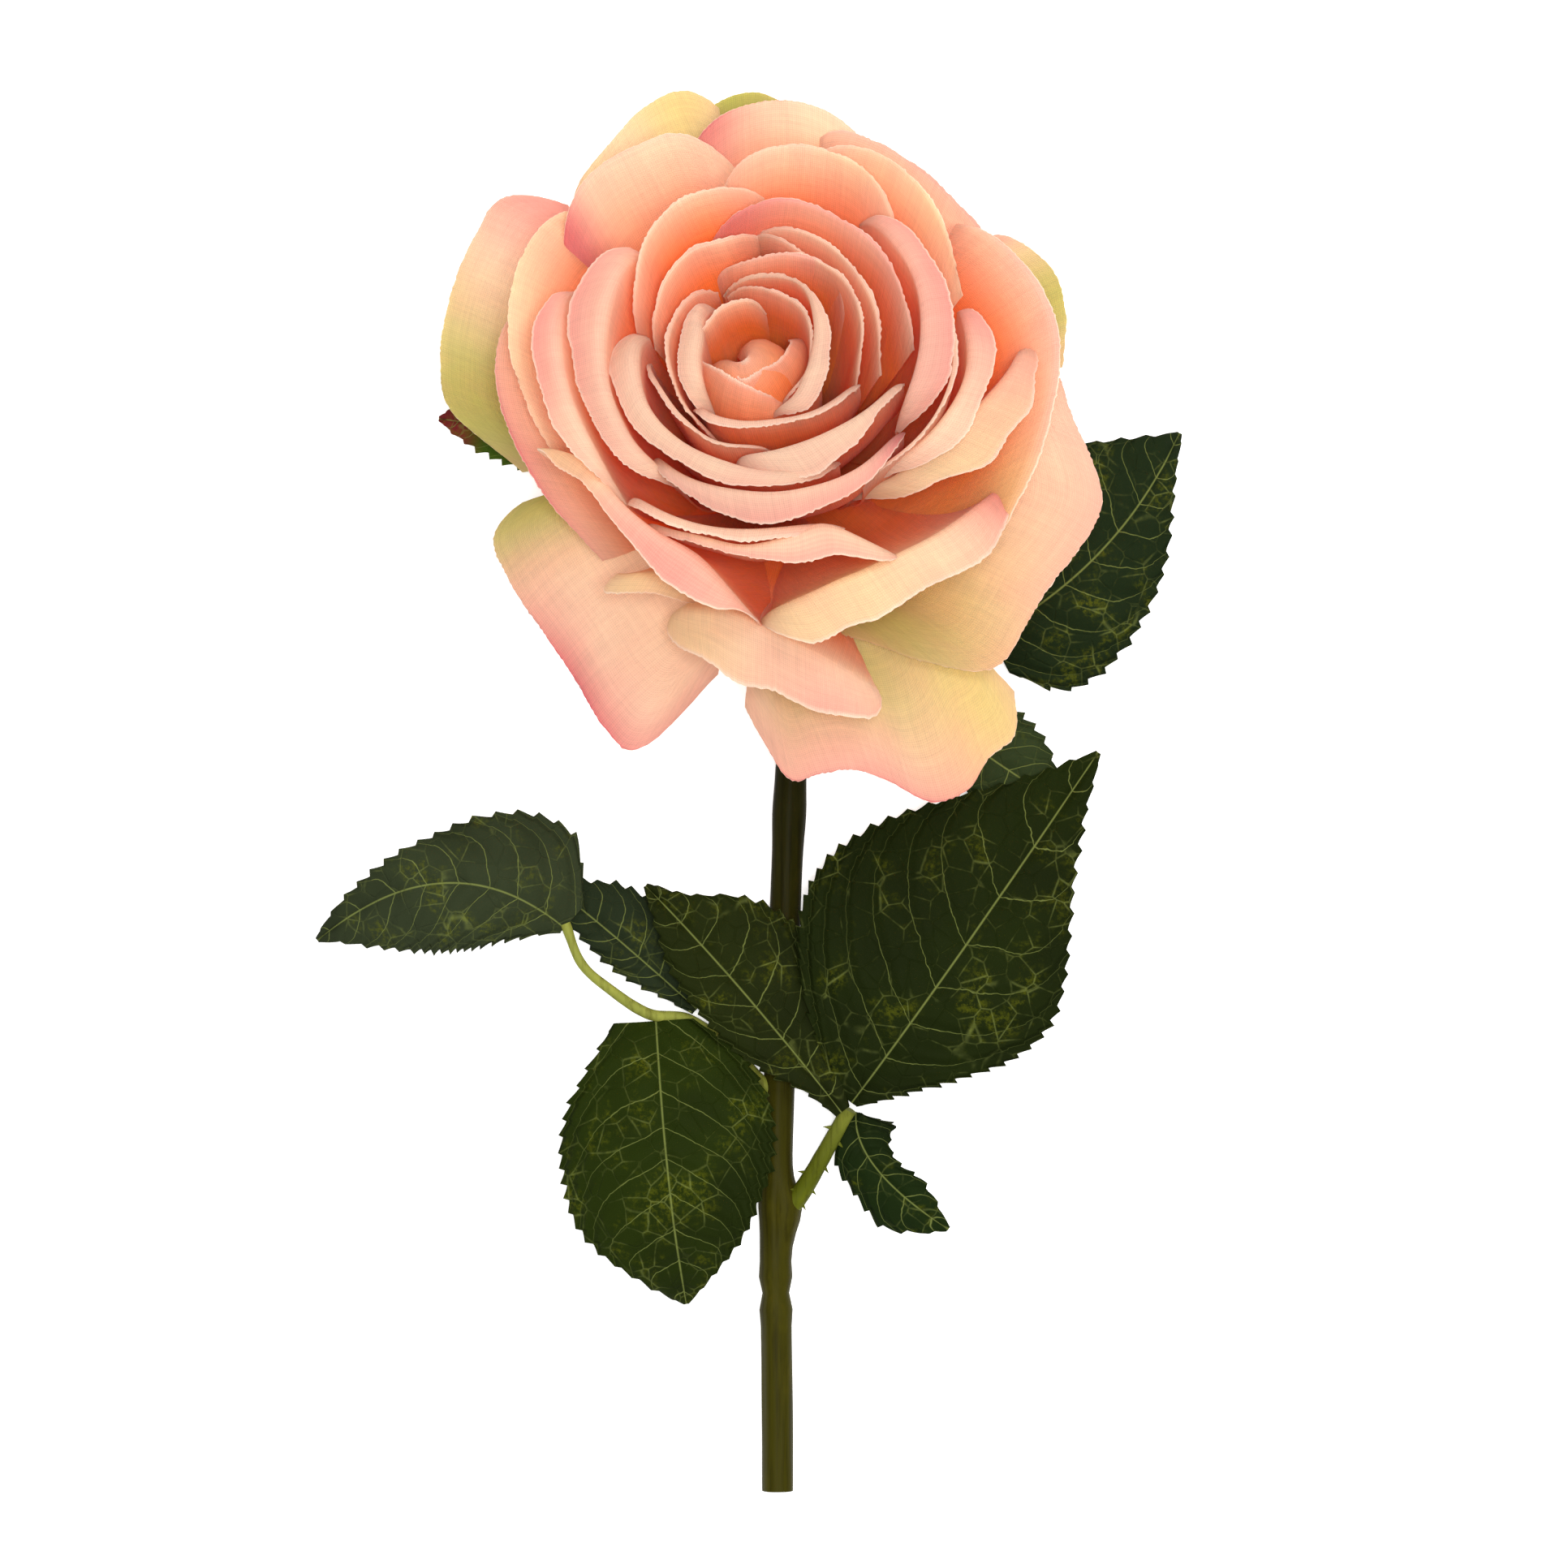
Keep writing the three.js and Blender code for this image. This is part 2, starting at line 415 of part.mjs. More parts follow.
function leafRows(leaf) {
  const [base, middle, tip] = [leaf.base, leaf.middle, leaf.tip].map((p) => new THREE.Vector3(...p));
  const grow = (p) => p.clone().sub(base).multiplyScalar(LEAF_SCALE).add(base);
  const bow = middle.clone().multiplyScalar(2).addScaledVector(base, -0.5).addScaledVector(tip, -0.5);
  const midrib = new THREE.QuadraticBezierCurve3(base, grow(bow), grow(tip));
  const widest = Math.max(...leaf.left, ...leaf.right) * LEAF_SCALE;
  const rows = [];
  for (let i = 0; i <= LEAF_STEPS.along; i++) {
    const t = i / LEAF_STEPS.along;
    const centre = midrib.getPoint(t);
    const ahead = midrib.getTangent(t);
    const side = new THREE.Vector3(-ahead.y, ahead.x, 0).normalize();
    const line = [];
    for (let k = -LEAF_STEPS.half; k <= LEAF_STEPS.half; k++) {
      const share = Math.abs(k) / LEAF_STEPS.half;
      const width = LEAF_SCALE * spread(k < 0 ? leaf.left : leaf.right, t) * share;
      const droop = (k < 0 ? leaf.droop[0] : leaf.droop[1]) * (width / widest) ** 2;
      line.push(centre.clone()
        .addScaledVector(side, k < 0 ? width : -width)
        .setZ(Math.max(centre.z - droop, CLOTH)));
    }
    rows.push(line);
  }
  return rows;
}

function stalkCurve(route) {
  return new THREE.CatmullRomCurve3(route.map((p) => new THREE.Vector3(...p)), false, 'centripetal');
}

function leafSolid(leaf) {
  const blade = toSolid(shell(leafRows(leaf), CLOTH));
  if (!leaf.stalk) return blade;
  const stalk = toSolid(bar(stalkCurve(leaf.stalk), (t) => 1.3 - 0.4 * t, 8, 8));
  return blade.add(stalk);
}

function stemRadius(y) {
  const swell = STEM_KNUCKLES.reduce(
    (sum, knuckle) => sum + knuckle.swell * Math.exp(-(((y - knuckle.y) / knuckle.width) ** 2)), 0);
  return STEM_RADIUS + swell;
}

// The stem lies along the surface, lifted where it is thicker, and its neck bends up to the calyx.
function stemCurve() {
  const top = flowerPoint(0, 0, -CALYX.drop).addScaledVector(AXIS, -GAP);
  const lying = new THREE.Vector3(8.8, 30, STEM_RADIUS + 0.3);
  const neck = NECK.map((short) => {
    const straight = top.clone().addScaledVector(AXIS, -short);
    const level = lying.clone().setY(top.y - short);
    return straight.lerp(level, (short / (NECK[0] + 4)) ** 1.2);
  });
  const smooth = stalkCurve([...STEM_ROUTE, ...neck.map((point) => point.toArray())]);
  const points = smooth.getSpacedPoints(4 * STEM_STEPS.along);
  points.forEach((point) => point.setZ(Math.max(point.z, stemRadius(point.y))));
  return new THREE.CatmullRomCurve3(points);
}

function stalkRoute(stalk) {
  const { x, side, clear, y, z } = stalk.foot;
  return [[x + side * (STEM_RADIUS + clear), y, z], ...stalk.route];
}

function calyxSolid() {
  const profile = [
    new THREE.Vector2(0, -CALYX.drop),
    new THREE.Vector2(CALYX.waist, -CALYX.drop),
    new THREE.Vector2(RECEPTACLE.footRadius * 0.95, -CALYX.drop * 0.45),
    new THREE.Vector2(RECEPTACLE.footRadius, 0),
    new THREE.Vector2(RECEPTACLE.tipRadius, RECEPTACLE.tip),
    new THREE.Vector2(0, RECEPTACLE.tip),
  ];
  const steps = 16;
  const points = [flowerPoint(0, 0, profile[0].y), flowerPoint(0, 0, RECEPTACLE.tip)];
  const rings = profile.slice(1, -1);
  for (const ring of rings) {
    for (let k = 0; k < steps; k++) points.push(flowerPoint(360 * k / steps, ring.x, ring.y));
  }
  const index = [];
  const id = (ring, k) => 2 + ring * steps + (k % steps);
  for (let k = 0; k < steps; k++) {
    index.push(0, id(0, k + 1), id(0, k));
    index.push(1, id(rings.length - 1, k), id(rings.length - 1, k + 1));
    for (let ring = 0; ring < rings.length - 1; ring++) {
      index.push(id(ring, k), id(ring, k + 1), id(ring + 1, k + 1));
      index.push(id(ring, k), id(ring + 1, k + 1), id(ring + 1, k));
    }
  }
  let solid = toSolid(closedGeometry(points, index));
  for (let i = 0; i < CALYX.sepals; i++) {
    solid = solid.add(toSolid(shell(sepalRows(20 + i * 360 / CALYX.sepals), 2 * CLOTH)));
  }
  return solid;
}

function sepalRows(degrees) {
  const root = RECEPTACLE.footRadius * 0.6;
  const lean = THREE.MathUtils.degToRad(CALYX.sepalLean);
  const rows = [];
  for (let i = 0; i <= 5; i++) {
    const t = i / 5;
    const width = CALYX.sepalWidth * (1 - t) ** 0.7 * (0.75 + 0.25 * Math.sin(Math.PI * t)) + 0.6;
    const line = [];
    for (let k = -1; k <= 1; k++) {
      const radius = root + CALYX.sepalLength * t * Math.sin(lean);
      const height = -CALYX.drop * 0.35 + CALYX.sepalLength * t * Math.cos(lean);
      const turn = THREE.MathUtils.radToDeg(Math.atan2(k * width / 2, radius));
      line.push(flowerPoint(degrees + turn, Math.hypot(radius, k * width / 2), height));
    }
    rows.push(line);
  }
  return rows;
}

// ---------------------------------------------------------------- the rose

const rose = new THREE.Group();
rose.name = 'cut_rose';

function place(name, solid, look) {
  const mesh = new THREE.Mesh(toGeometry(solid), new THREE.MeshStandardMaterial(COLOURS[look]));
  mesh.name = name;
  rose.add(mesh);
}

const keepOuts = [];

const stem = toSolid(bar(stemCurve(), (t, centre) => stemRadius(centre.y), STEM_STEPS.along, STEM_STEPS.round));
place('stem', stem, 'stem');

const calyx = calyxSolid();
place('calyx', calyx, 'stem');
keepOuts.push(stem, calyx);

PETALS.forEach((petal, rank) => {
  const rows = petalRows(petal, rank);
  const solid = givingWay(toSolid(shell(rows, CLOTH)), keepOuts);
  keepOuts.push(toSolid(shell(rows, CLOTH + 2 * GAP)), solid);
  place(petal.name, solid, petal.tint ?? 'petal');
});

for (const stalk of STALKS) {
  const [thick, thin] = stalk.radii;
  const radiusAt = (t) => thick + (thin - thick) * t;
  const route = stalkRoute(stalk);
  const solid = givingWay(toSolid(bar(stalkCurve(route), radiusAt, 3 * route.length, 8)), keepOuts);
  keepOuts.push(solid);
  place(stalk.name, solid, 'stalk');
}

for (const leaf of LEAVES) {
  const solid = givingWay(leafSolid(leaf), keepOuts);
  keepOuts.push(solid);
  place(leaf.name, solid, 'leaf');
}

export default rose;
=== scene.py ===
import math
import random
from collections import namedtuple
from functools import partial

import bpy
from bpy.props import FloatProperty, FloatVectorProperty, PointerProperty
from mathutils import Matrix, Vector, noise


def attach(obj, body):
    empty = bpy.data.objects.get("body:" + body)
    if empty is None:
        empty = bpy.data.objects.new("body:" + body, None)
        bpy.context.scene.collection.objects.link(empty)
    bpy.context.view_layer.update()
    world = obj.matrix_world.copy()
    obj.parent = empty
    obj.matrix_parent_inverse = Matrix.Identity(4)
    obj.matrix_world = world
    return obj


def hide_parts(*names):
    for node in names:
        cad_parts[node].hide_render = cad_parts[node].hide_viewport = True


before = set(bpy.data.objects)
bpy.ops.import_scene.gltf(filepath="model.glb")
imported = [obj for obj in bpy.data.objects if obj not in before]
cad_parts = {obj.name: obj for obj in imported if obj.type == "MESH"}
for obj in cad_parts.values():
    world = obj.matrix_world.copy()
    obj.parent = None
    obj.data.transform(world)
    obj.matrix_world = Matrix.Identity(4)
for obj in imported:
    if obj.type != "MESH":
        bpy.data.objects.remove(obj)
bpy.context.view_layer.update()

bl_info = {
    "name": "Cloth rose",
    "version": (1, 0, 0),
    "blender": (4, 5, 0),
    "location": "View3D > Sidebar > Rose",
    "description": "Cut cloth rose lying on a pale table: petals, leaves, stem, calyx and stage",
    "category": "Add Mesh",
}

MM = 0.001

# The flower stands on SEAT, turned to face along AXIS. Lengths in these tables are millimetres.
SEAT = Vector((6.75, 56.4, 22.0))
AXIS = Vector((-0.14, 0.4, 0.906)).normalized()
ACROSS = (Vector((1, 0, 0)) - AXIS * AXIS.x).normalized()
BEYOND = AXIS.cross(ACROSS)
RECEPTACLE_TIP = 13.0
RECEPTACLE_TIP_RADIUS = 2.0
RECEPTACLE_FOOT_RADIUS = 6.5
CALYX_DROP = 9.0
CLAW = 0.34            # width of a petal's foot, as a share of its rim
TIGHTEST_CURL = 0.5
BROAD_LIP = 2.5        # a petal with a wider lip than this gives it more of its cloth
BROAD_WALL, NARROW_WALL = 0.64, 0.84  # share of the cloth below the crest, by kind of lip
PETAL_STEP, LEAF_STEP = 0.62, 0.42  # distance between points along a petal's rim and a midrib
LIP_ROLL = 1.7         # radius of the roll that turns a lip over, before it runs on straight
LIP_SLOPE = 114        # steepest that a lip runs on, in degrees off the axis
LIP_TURN = 112         # most that a lip turns over, in degrees
GAP = 0.3

# One petal of the flower. from_turn and to_turn are degrees round the axis. lean is how the cloth
# leaves its foot and how it arrives at its rim, in degrees off the axis. lip (how far the edge rolls
# over), reach (out from the axis) and rise (up from the seat) are spread evenly along the rim, and
# corner is how far the rim falls at its two ends.
Petal = namedtuple("Petal", "name from_turn to_turn lean lip reach rise corner", defaults=(5.0,))

# One leaf: a midrib from base to tip that bows to the middle point, half widths at even steps on
# the left and on the right of it, and how far each edge hangs at the widest place.
Leaf = namedtuple("Leaf", "name base middle tip left right droop")

PETAL_ROWS = {
    "heart": (
        (115, -230, (15, -78), (0,), (0.9, 0.25, 0.15, 0.25, 0.9), (51.2, 52.4, 52.6, 52.4, 51.2)),
        (48, -174, (25, -45), (0,), (10.2, 3.4, 3.5, 1.5), (49, 51.5, 52, 50)),
        (149, 323, (30, -45), (0,), (11.4, 5.2, 4.1, 5.1, 7.8), (49, 51.5, 52.5, 51.5, 48)),
    ),
    "core": (
        (148, 79, (24, 10), (0.5,), (11.3, 11, 12, 12.8, 13.5), (49, 50.5, 51, 50.5, 49)),
        (104, -46, (28, 12), (0.5,), (18.1, 15.4, 14.3, 12, 10.6, 7.5), (48, 50, 50.5, 50.5, 50, 48)),
        (113, 224, (30, 0), (1.1, 4.7, 4.3, 3.8, 3.1), (16.7, 10.2, 8.4, 8.3, 9.3),
         (47, 50, 51, 51, 49)),
        (106, -66, (32, 0), (0.5, 0.5, 0.5, 2.1, 3.2, 4, 4.3, 1.5),
         (18.8, 18.2, 18, 14.7, 12.3, 11.3, 10.8, 8.3), (48, 51, 51.5, 51, 48)),
        (109, 242, (34, 8), (0.5,), (20.3, 17.1, 14.9, 13.3, 13.3, 12.9), (47, 50, 51, 50.5, 50, 47)),
        (108, 29, (35, 20), (0.5,), (21.9, 20.9, 22.4, 23.3, 19.9), (47, 51, 51, 47)),
        (-156, -3, (36, 0), (1.6,), (10.2, 11.2, 11.5, 13, 16.7, 19.1), (46, 50, 51, 51, 50, 46)),
    ),
    "inner": (
        (91, -9, (38, 20), (0.5,), (29.3, 23.9, 23.3, 21.9, 19.1), (47, 51, 52, 52, 48)),
        (154, 86, (40, 20), (0.5,), (19.9, 21.1, 23.1, 24.8, 25.3, 28.6), (47, 51, 52, 51.5, 48)),
        (164, 284, (40, 0), (0.8,), (19.3, 15.9, 15.3, 16.2, 14.6), (47, 50.5, 51, 51, 48)),
        (-6, -99, (42, 0), (1.4, 2.4, 4.8, 6.5, 4.3, 2), (27.6, 25.3, 22.4, 20.3, 18.9, 17.1),
         (49, 52, 52.5, 52, 49)),
        (90, 1, (42, 24), (0.5,), (29.1, 27.6, 26.7, 25.6, 24.9, 23.1), (47, 51.5, 52, 52, 47)),
        (153, 312, (44, 0), (4.1, 5.3, 4.6, 3.7, 3.8, 3.6, 2.9),
         (21, 19.2, 19.3, 19.5, 20.8, 23.6, 23.2), (49, 52.5, 53, 53, 53, 52, 48)),
    ),
    "ring": (
        (106, 8, (46, 26), (0.5,), (29.6, 32.2, 31.8, 31.2, 29.8), (46, 52, 53, 53, 49)),
        (150, 87, (46, 26), (0.5,), (24.5, 27.2, 31.7, 35, 36.2, 37.5), (47, 51, 52, 51.5, 48)),
        (-140, -25, (48, 4), (2.1, 2.7, 5.4, 5.1, 3.4, 2.5), (22.3, 24.5, 26.2, 28.8, 30.9, 30.2),
         (48, 52, 53.5, 53, 49)),
        (57, -24, (48, 4), (0.9, 3.4, 4.4, 6, 6.4, 4), (36.4, 34.5, 33.8, 32.4, 31, 28.6),
         (48, 53, 53, 52.5, 48)),
        (127, 239, (50, 5), (3, 7.8, 7.2, 5.7, 4.8, 4.2, 2), (33, 28.2, 25.7, 24.9, 24.7, 25.1, 24.2),
         (49, 53, 54, 54, 53, 49)),
        (26, -47, (50, 5), (0.8,), (36.9, 37.5, 37.5, 35.2, 28.9), (46, 51.5, 51.5, 50.5, 46)),
        (224, 299, (52, 5), (2.4,), (30.4, 32, 32.8, 33.4, 33.6), (46, 50, 50.5, 50, 46)),
    ),
    "middle": (
        (98, 47, (55, 34), (0.5,), (42.4, 44, 44.8, 44.5, 42.9, 38.7), (44, 49, 50, 50, 46)),
        (78, 25, (58, 36), (0.5,), (49.8, 49.7, 47.5, 44.7, 41.5), (40, 45, 47.5, 48, 43)),
        (146, 225, (55, 8), (0.8, 5, 5.4, 4.6, 3.5, 0.7), (40.2, 35.4, 33, 31.7, 31.4, 32.3),
         (44, 51, 53, 53, 48)),
        (-128, -53, (56, 8), (2.5, 1.6, 1.8, 2.4, 5, 7, 4), (31.8, 33.2, 34, 35.3, 35.1, 34.3, 41.9),
         (43, 48, 49, 48.5, 42)),
        (20, -41, (56, 8), (0.9, 4.1, 5.1, 4.9, 5.1, 2.8), (39.4, 39.6, 39.9, 38.3, 35.3, 29.1),
         (44, 49, 49.5, 49, 44)),
        (-170, -91, (60, 10), (0.5, 4, 3.4, 3.5, 5.1, 7.7, 0.5), (41, 34.7, 33.2, 34.1, 35, 36.1, 41.9),
         (41, 46, 48, 48, 45, 36)),
        (10, -48, (60, 20), (2.6, 5.6, 8.4, 9, 8, 5, 2.6), (48.5, 46.4, 42.6, 38.6, 35, 31.4, 24.5),
         (37, 43, 44, 42, 36)),
        (128, 190, (66, 60), (0.5,), (59.7, 54.7, 50.4, 46.3, 42, 38.1), (30, 38, 40, 38.5, 34)),
        (48, -34, (66, 50), (0.6, 1, 1.6, 2, 1.4), (50, 52.5, 54.5, 51.5, 48), (33, 40, 40.5, 36, 28)),
    ),
    "outer": (
        (-17, -91, (66, 25), (4.2, 6, 8.4, 8.4, 8.4, 8.3, 3.6),
         (45.5, 44.9, 43.7, 41.9, 40.9, 40.7, 38.8), (26, 33, 37, 38, 37, 30)),
        (151, 210, (72, 62), (0.5,), (53.9, 51.1, 47.9, 44.3, 41.1, 37.2), (29, 32, 30, 26, 17)),
        (-139, -114, (70, 30), (3.4, 4, 4.4, 4, 3), (37.3, 38.7, 36.9, 35.2, 34.2), (20, 27, 28, 24)),
        (139, 96, (70, 50), (0.8,), (48.9, 54.6, 57.6, 57.7, 58, 53.8), (29, 34, 36, 35, 29)),
        (80, 29, (72, 50), (0.6,), (59.4, 56.4, 54, 52.6, 52.4), (31, 34, 34.5, 33, 29)),
        (-120, -69, (74, 40), (5, 7, 10.5, 11.5, 11.5, 10.5, 10),
         (36.9, 36.9, 37, 38.8, 42.2, 46.2, 51), (20, 24, 26, 24.5, 16)),
        (104, 72, (76, 62), (0.6,), (61.6, 65.4, 65.8, 64.2, 60.6), (24, 26, 28, 27.5, 25)),
    ),
    "guard": (
        (125, 98, (82, 84), (0.6,), (66.3, 68.4, 71.9, 76.3, 78.2, 73.9), (19, 19.5, 18, 16, 17)),
        (45, 16, (82, 105), (0.6,), (56, 59.1, 60.6, 58.9, 55.2), (22, 21, 19.5, 18, 17)),
        (14, -74, (84, 112), (0.3,), (54.1, 54.6, 58, 60.8, 59.2, 57, 57.4, 57.6, 49, 40, 34.6),
         (16, 14, 11, 10, 10, 10, 8.5, 7, 8, 9, 11)),
        (-176, -110, (84, 118), (0.3,), (48.3, 54.1, 53.9, 53.4, 52.9, 53.4, 55.2, 57.9, 57.6, 38.5),
         (12, 8, 7, 5.5, 4, 2.5, 1, 2.5)),
        (125, 174, (88, 104), (0.4,), (70.6, 77.7, 74.8, 71.8, 69, 66.3, 62.5, 49.3),
         (13, 13, 15, 16, 16, 14, 8)),
        (260, 314, (90, 122), (0.3,), (44, 51, 58.5, 59, 59.5, 63, 69.5, 71, 68, 67, 60),
         (3, 1, -1, 1, 1, 0, -2, -1, 0, 0, 2)),
        (104, 88, (92, 88), (0.3,), (70, 75.4, 76.4, 73), (13, 13, 13, 13), 0.6),
    ),
}
PETALS = tuple(
    Petal(f"{ring}_petal_{k}", *row) for ring, rows in PETAL_ROWS.items() for k, row in enumerate(rows, 1)
)

LEAVES = (
    Leaf("right_big_leaf", (19.2, -58.6, 8.6), (39, -31, 15), (65.7, 7.1, 1.6), droop=(3, 8),
         left=(3, 14.5, 23.5, 29, 30.5, 27, 19.5, 9.4, 0.4),
         right=(1.2, 7, 13.5, 19.5, 21.5, 17.5, 11, 5.2, 0.4)),
    Leaf("right_cross_leaf", (17.2, -60.4, 9.4), (-1, -38, 10.5), (-19.5, -17.9, 9.6), droop=(2, 0.4),
         left=(1.2, 3, 6.4, 8.4, 8.8, 8.5, 7, 3.8, 0.4),
         right=(1.8, 5, 9.5, 13, 15.2, 15, 11.4, 4.6, 0.4)),
    Leaf("right_curled_leaf", (20, -60.6, 4.8), (23.8, -71, 7), (37.4, -82.7, 1.4), droop=(4, 4),
         left=(1, 5.5, 7, 5, 4, 4, 4.5, 3, 0.4),
         right=(1, 3, 5, 6, 6, 6.5, 7, 4.5, 0.4)),
    Leaf("left_far_leaf", (-34.8, -25.8, 8.6), (-57, -17.3, 15), (-81.5, -28.2, 1.2), droop=(7, 5),
         left=(1.2, 7, 10.5, 12.3, 12.8, 12.3, 10.5, 6.5, 0.4),
         right=(5, 14.5, 15.5, 13, 9.5, 7.3, 5.2, 3.2, 0.4)),
    Leaf("left_under_leaf", (-10, -41.2, 4.4), (-26, -27, 5), (-39.6, -16.4, 1.8), droop=(1.5, 1),
         left=(1, 2.5, 4, 4.8, 4.6, 4, 3, 1.6, 0.4),
         right=(1, 5.4, 8, 9.4, 9.4, 8, 5.2, 2.6, 0.4)),
    Leaf("left_low_leaf", (-17.6, -43.4, 6.4), (-15.2, -72, 14), (-12, -96.8, 1.2), droop=(2.2, 8),
         left=(7, 15.5, 19.5, 20.5, 19.5, 16.5, 12.8, 7, 0.4),
         right=(8, 13, 17.6, 19.6, 19.6, 18.6, 14.6, 8, 0.4)),
    Leaf("upper_big_leaf", (45.2, 29.2, 4.6), (66, 45, 12), (81, 67.3, 1.4), droop=(3, 6),
         left=(1.2, 9.5, 14.8, 18.4, 20, 20, 17, 9.6, 0.4),
         right=(8, 16, 17, 15.5, 13.2, 10, 6, 2.6, 0.4)),
    Leaf("upper_small_leaf", (30.4, 17, 2.6), (44.6, 6.6, 3.4), (58.6, -2.4, 1.2), droop=(0.8, 0.8),
         left=(1, 5, 8.5, 10, 10, 9.5, 8, 5, 0.4),
         right=(1, 4, 7, 8, 8, 7.5, 6, 3.6, 0.4)),
    Leaf("back_left_leaf", (-24, 58, 5), (-42, 66, 8), (-58.5, 70, 3), droop=(2, 2),
         left=(1, 3, 4.4, 5, 5.4, 5.2, 4.4, 2.8, 0.4),
         right=(1, 5, 8, 9.5, 9.5, 8.5, 6.5, 3.5, 0.4)),
)

# Dyes brushed onto a petal by hand, in order: colour, place across the rim (-1 to 1), place up the
# petal (0 to 1), how wide the brush is across and up, and how strong.
BRUSHED = {
    "outer_petal_4": (("magenta", -0.75, 0.95, 0.28, 0.5, 0.75),),
    "outer_petal_7": (("magenta", -0.8, 1, 0.4, 0.35, 0.7),),
    "outer_petal_5": (("pink", 0.3, 1, 1.2, 0.18, 0.8),),
    "outer_petal_1": (("pink", -0.9, 0.9, 0.35, 0.5, 0.85), ("cream", 0.5, 0.85, 0.7, 0.5, 0.7)),
    "outer_petal_6": (("cream", -0.7, 0.9, 0.6, 0.6, 0.8), ("pink", 0.6, 1, 0.4, 0.25, 0.4)),
    "outer_petal_3": (("cream", 0, 0.9, 1.5, 0.6, 0.8),),
    "outer_petal_2": (("magenta", 0.2, 1, 0.9, 0.2, 0.7),),
    "middle_petal_3": (("pink", -0.5, 1, 0.8, 0.3, 0.7),),
    "middle_petal_4": (("pink", 0.2, 1, 0.8, 0.12, 0.45),),
    "middle_petal_6": (("cream", -0.7, 0.95, 0.5, 0.4, 0.7), ("pink", 0.45, 0.95, 0.7, 0.35, 0.65)),
    "middle_petal_8": (("cream", -0.2, 1, 1, 0.2, 0.7),),
    "middle_petal_9": (("ochre", 0.9, 0.9, 0.5, 0.6, 0.75), ("pink", 0.1, 1, 0.7, 0.2, 0.5)),
    "middle_petal_7": (("pink", -0.4, 0.85, 0.5, 0.4, 0.45), ("cream", 0.3, 0.9, 0.9, 0.4, 0.75)),
    "middle_petal_1": (("cream", 0.4, 1, 0.5, 0.2, 0.4),),
    "middle_petal_2": (("cream", 0.4, 1, 0.6, 0.25, 0.6),),
    "ring_petal_1": (("pink", -0.1, 1, 1, 0.16, 0.8), ("magenta", -0.8, 0.9, 0.35, 0.4, 0.5)),
    "ring_petal_3": (("pink", 0.3, 1, 1, 0.22, 0.5), ("magenta", 0.95, 0.95, 0.25, 0.4, 0.55)),
    "ring_petal_4": (("pink", 0, 0.9, 1.2, 0.35, 0.5), ("pink", 0.1, 1, 0.9, 0.12, 0.4)),
    "ring_petal_5": (("pink", -0.4, 1, 0.8, 0.25, 0.55),),
    "middle_petal_5": (("pink", -0.7, 0.95, 0.5, 0.4, 0.6),),
    "core_petal_6": (("pink", 0.2, 1, 0.9, 0.2, 0.5),),
    "guard_petal_1": (("yellow", 0.6, 0.8, 0.6, 0.7, 0.75), ("cream", -0.6, 0.9, 0.5, 0.6, 0.6)),
    "guard_petal_2": (("green", 0.3, 0.85, 0.8, 0.7, 0.85), ("pink", -0.8, 0.9, 0.3, 0.5, 0.4)),
    "guard_petal_3": (("green", 0.75, 0.55, 0.55, 0.6, 0.9), ("ochre", 0.3, 0.4, 0.6, 0.4, 0.5),
                      ("pink", -0.3, 1, 0.7, 0.25, 0.55)),
    "guard_petal_4": (("green", -1, 0.7, 0.45, 0.6, 0.95), ("magenta", 0.3, 0.97, 0.6, 0.26, 1),
                      ("peach", 0.2, 0.6, 0.6, 0.2, 0.8)),
    "guard_petal_5": (("green", 0.65, 0.8, 0.6, 0.8, 0.9), ("yellow", 0.2, 1, 0.5, 0.2, 0.6),
                      ("pink", -0.9, 0.85, 0.35, 0.6, 0.7)),
    "guard_petal_6": (("yellow", 0.75, 0.7, 0.4, 0.4, 0.9), ("green", -0.2, 0.4, 0.8, 0.25, 0.75),
                      ("pink", -0.1, 1, 0.8, 0.3, 0.75), ("magenta", 0.2, 1, 0.25, 0.12, 0.7),
                      ("magenta", -0.55, 1, 0.25, 0.1, 0.6)),
    "guard_petal_7": (("green", 0, 1, 2, 0.9, 0.95),),
}
DYES = {
    "peach": (0xFA, 0xE0, 0xC7),
    # orange is partly dye and partly painted shade deep in the flower
    "orange": (0xFF, 0x92, 0x34),
    "bare": (0xFF, 0xF4, 0xE4),
    "pink": (0xF8, 0xAC, 0xA4),
    "magenta": (0xD8, 0x3C, 0x62),
    "cream": (0xF8, 0xE6, 0xB8),
    "yellow": (0xEE, 0xDF, 0x96),
    "ochre": (0xE6, 0xC8, 0x80),
    "green": (0xC6, 0xC4, 0x62),
}
# Where up a petal the orange begins to fade and where only peach is left: 1 is the petal's crest.
# The orange is partly dye and partly painted shade, the warm glow deep down between the petals.
DYE_AND_SHADE_CLIMB = {
    "heart": (0.5, 1.35),
    "core": (0.74, 1.14),
    "inner": (0.72, 1.12),
    "ring": (0.7, 1.1),
    "middle": (0.6, 1.06),
    "outer": (0.35, 1.05),
    "guard": (0.0, 0.35),
}
LEAF_MOTTLE = (0x5C, 0x60, 0x10)
LEAF_SHADE = (0x10, 0x14, 0x06)
LEAF_TIP_RED = (0x6A, 0x22, 0x24)
# Each leaf's own green; the greyer, paler tone of left_far_leaf is partly painted sheen.
LEAF_TONES = {
    "right_big_leaf": (0x18, 0x20, 0x06),
    "right_cross_leaf": (0x1C, 0x22, 0x08),
    "right_curled_leaf": (0x16, 0x22, 0x0A),
    "left_far_leaf": (0x2C, 0x33, 0x20),
    "left_under_leaf": (0x20, 0x28, 0x18),
    "left_low_leaf": (0x1E, 0x28, 0x06),
    "upper_big_leaf": (0x18, 0x22, 0x10),
    "upper_small_leaf": (0x2A, 0x34, 0x1C),
    "back_left_leaf": (0x3A, 0x50, 0x14),
}


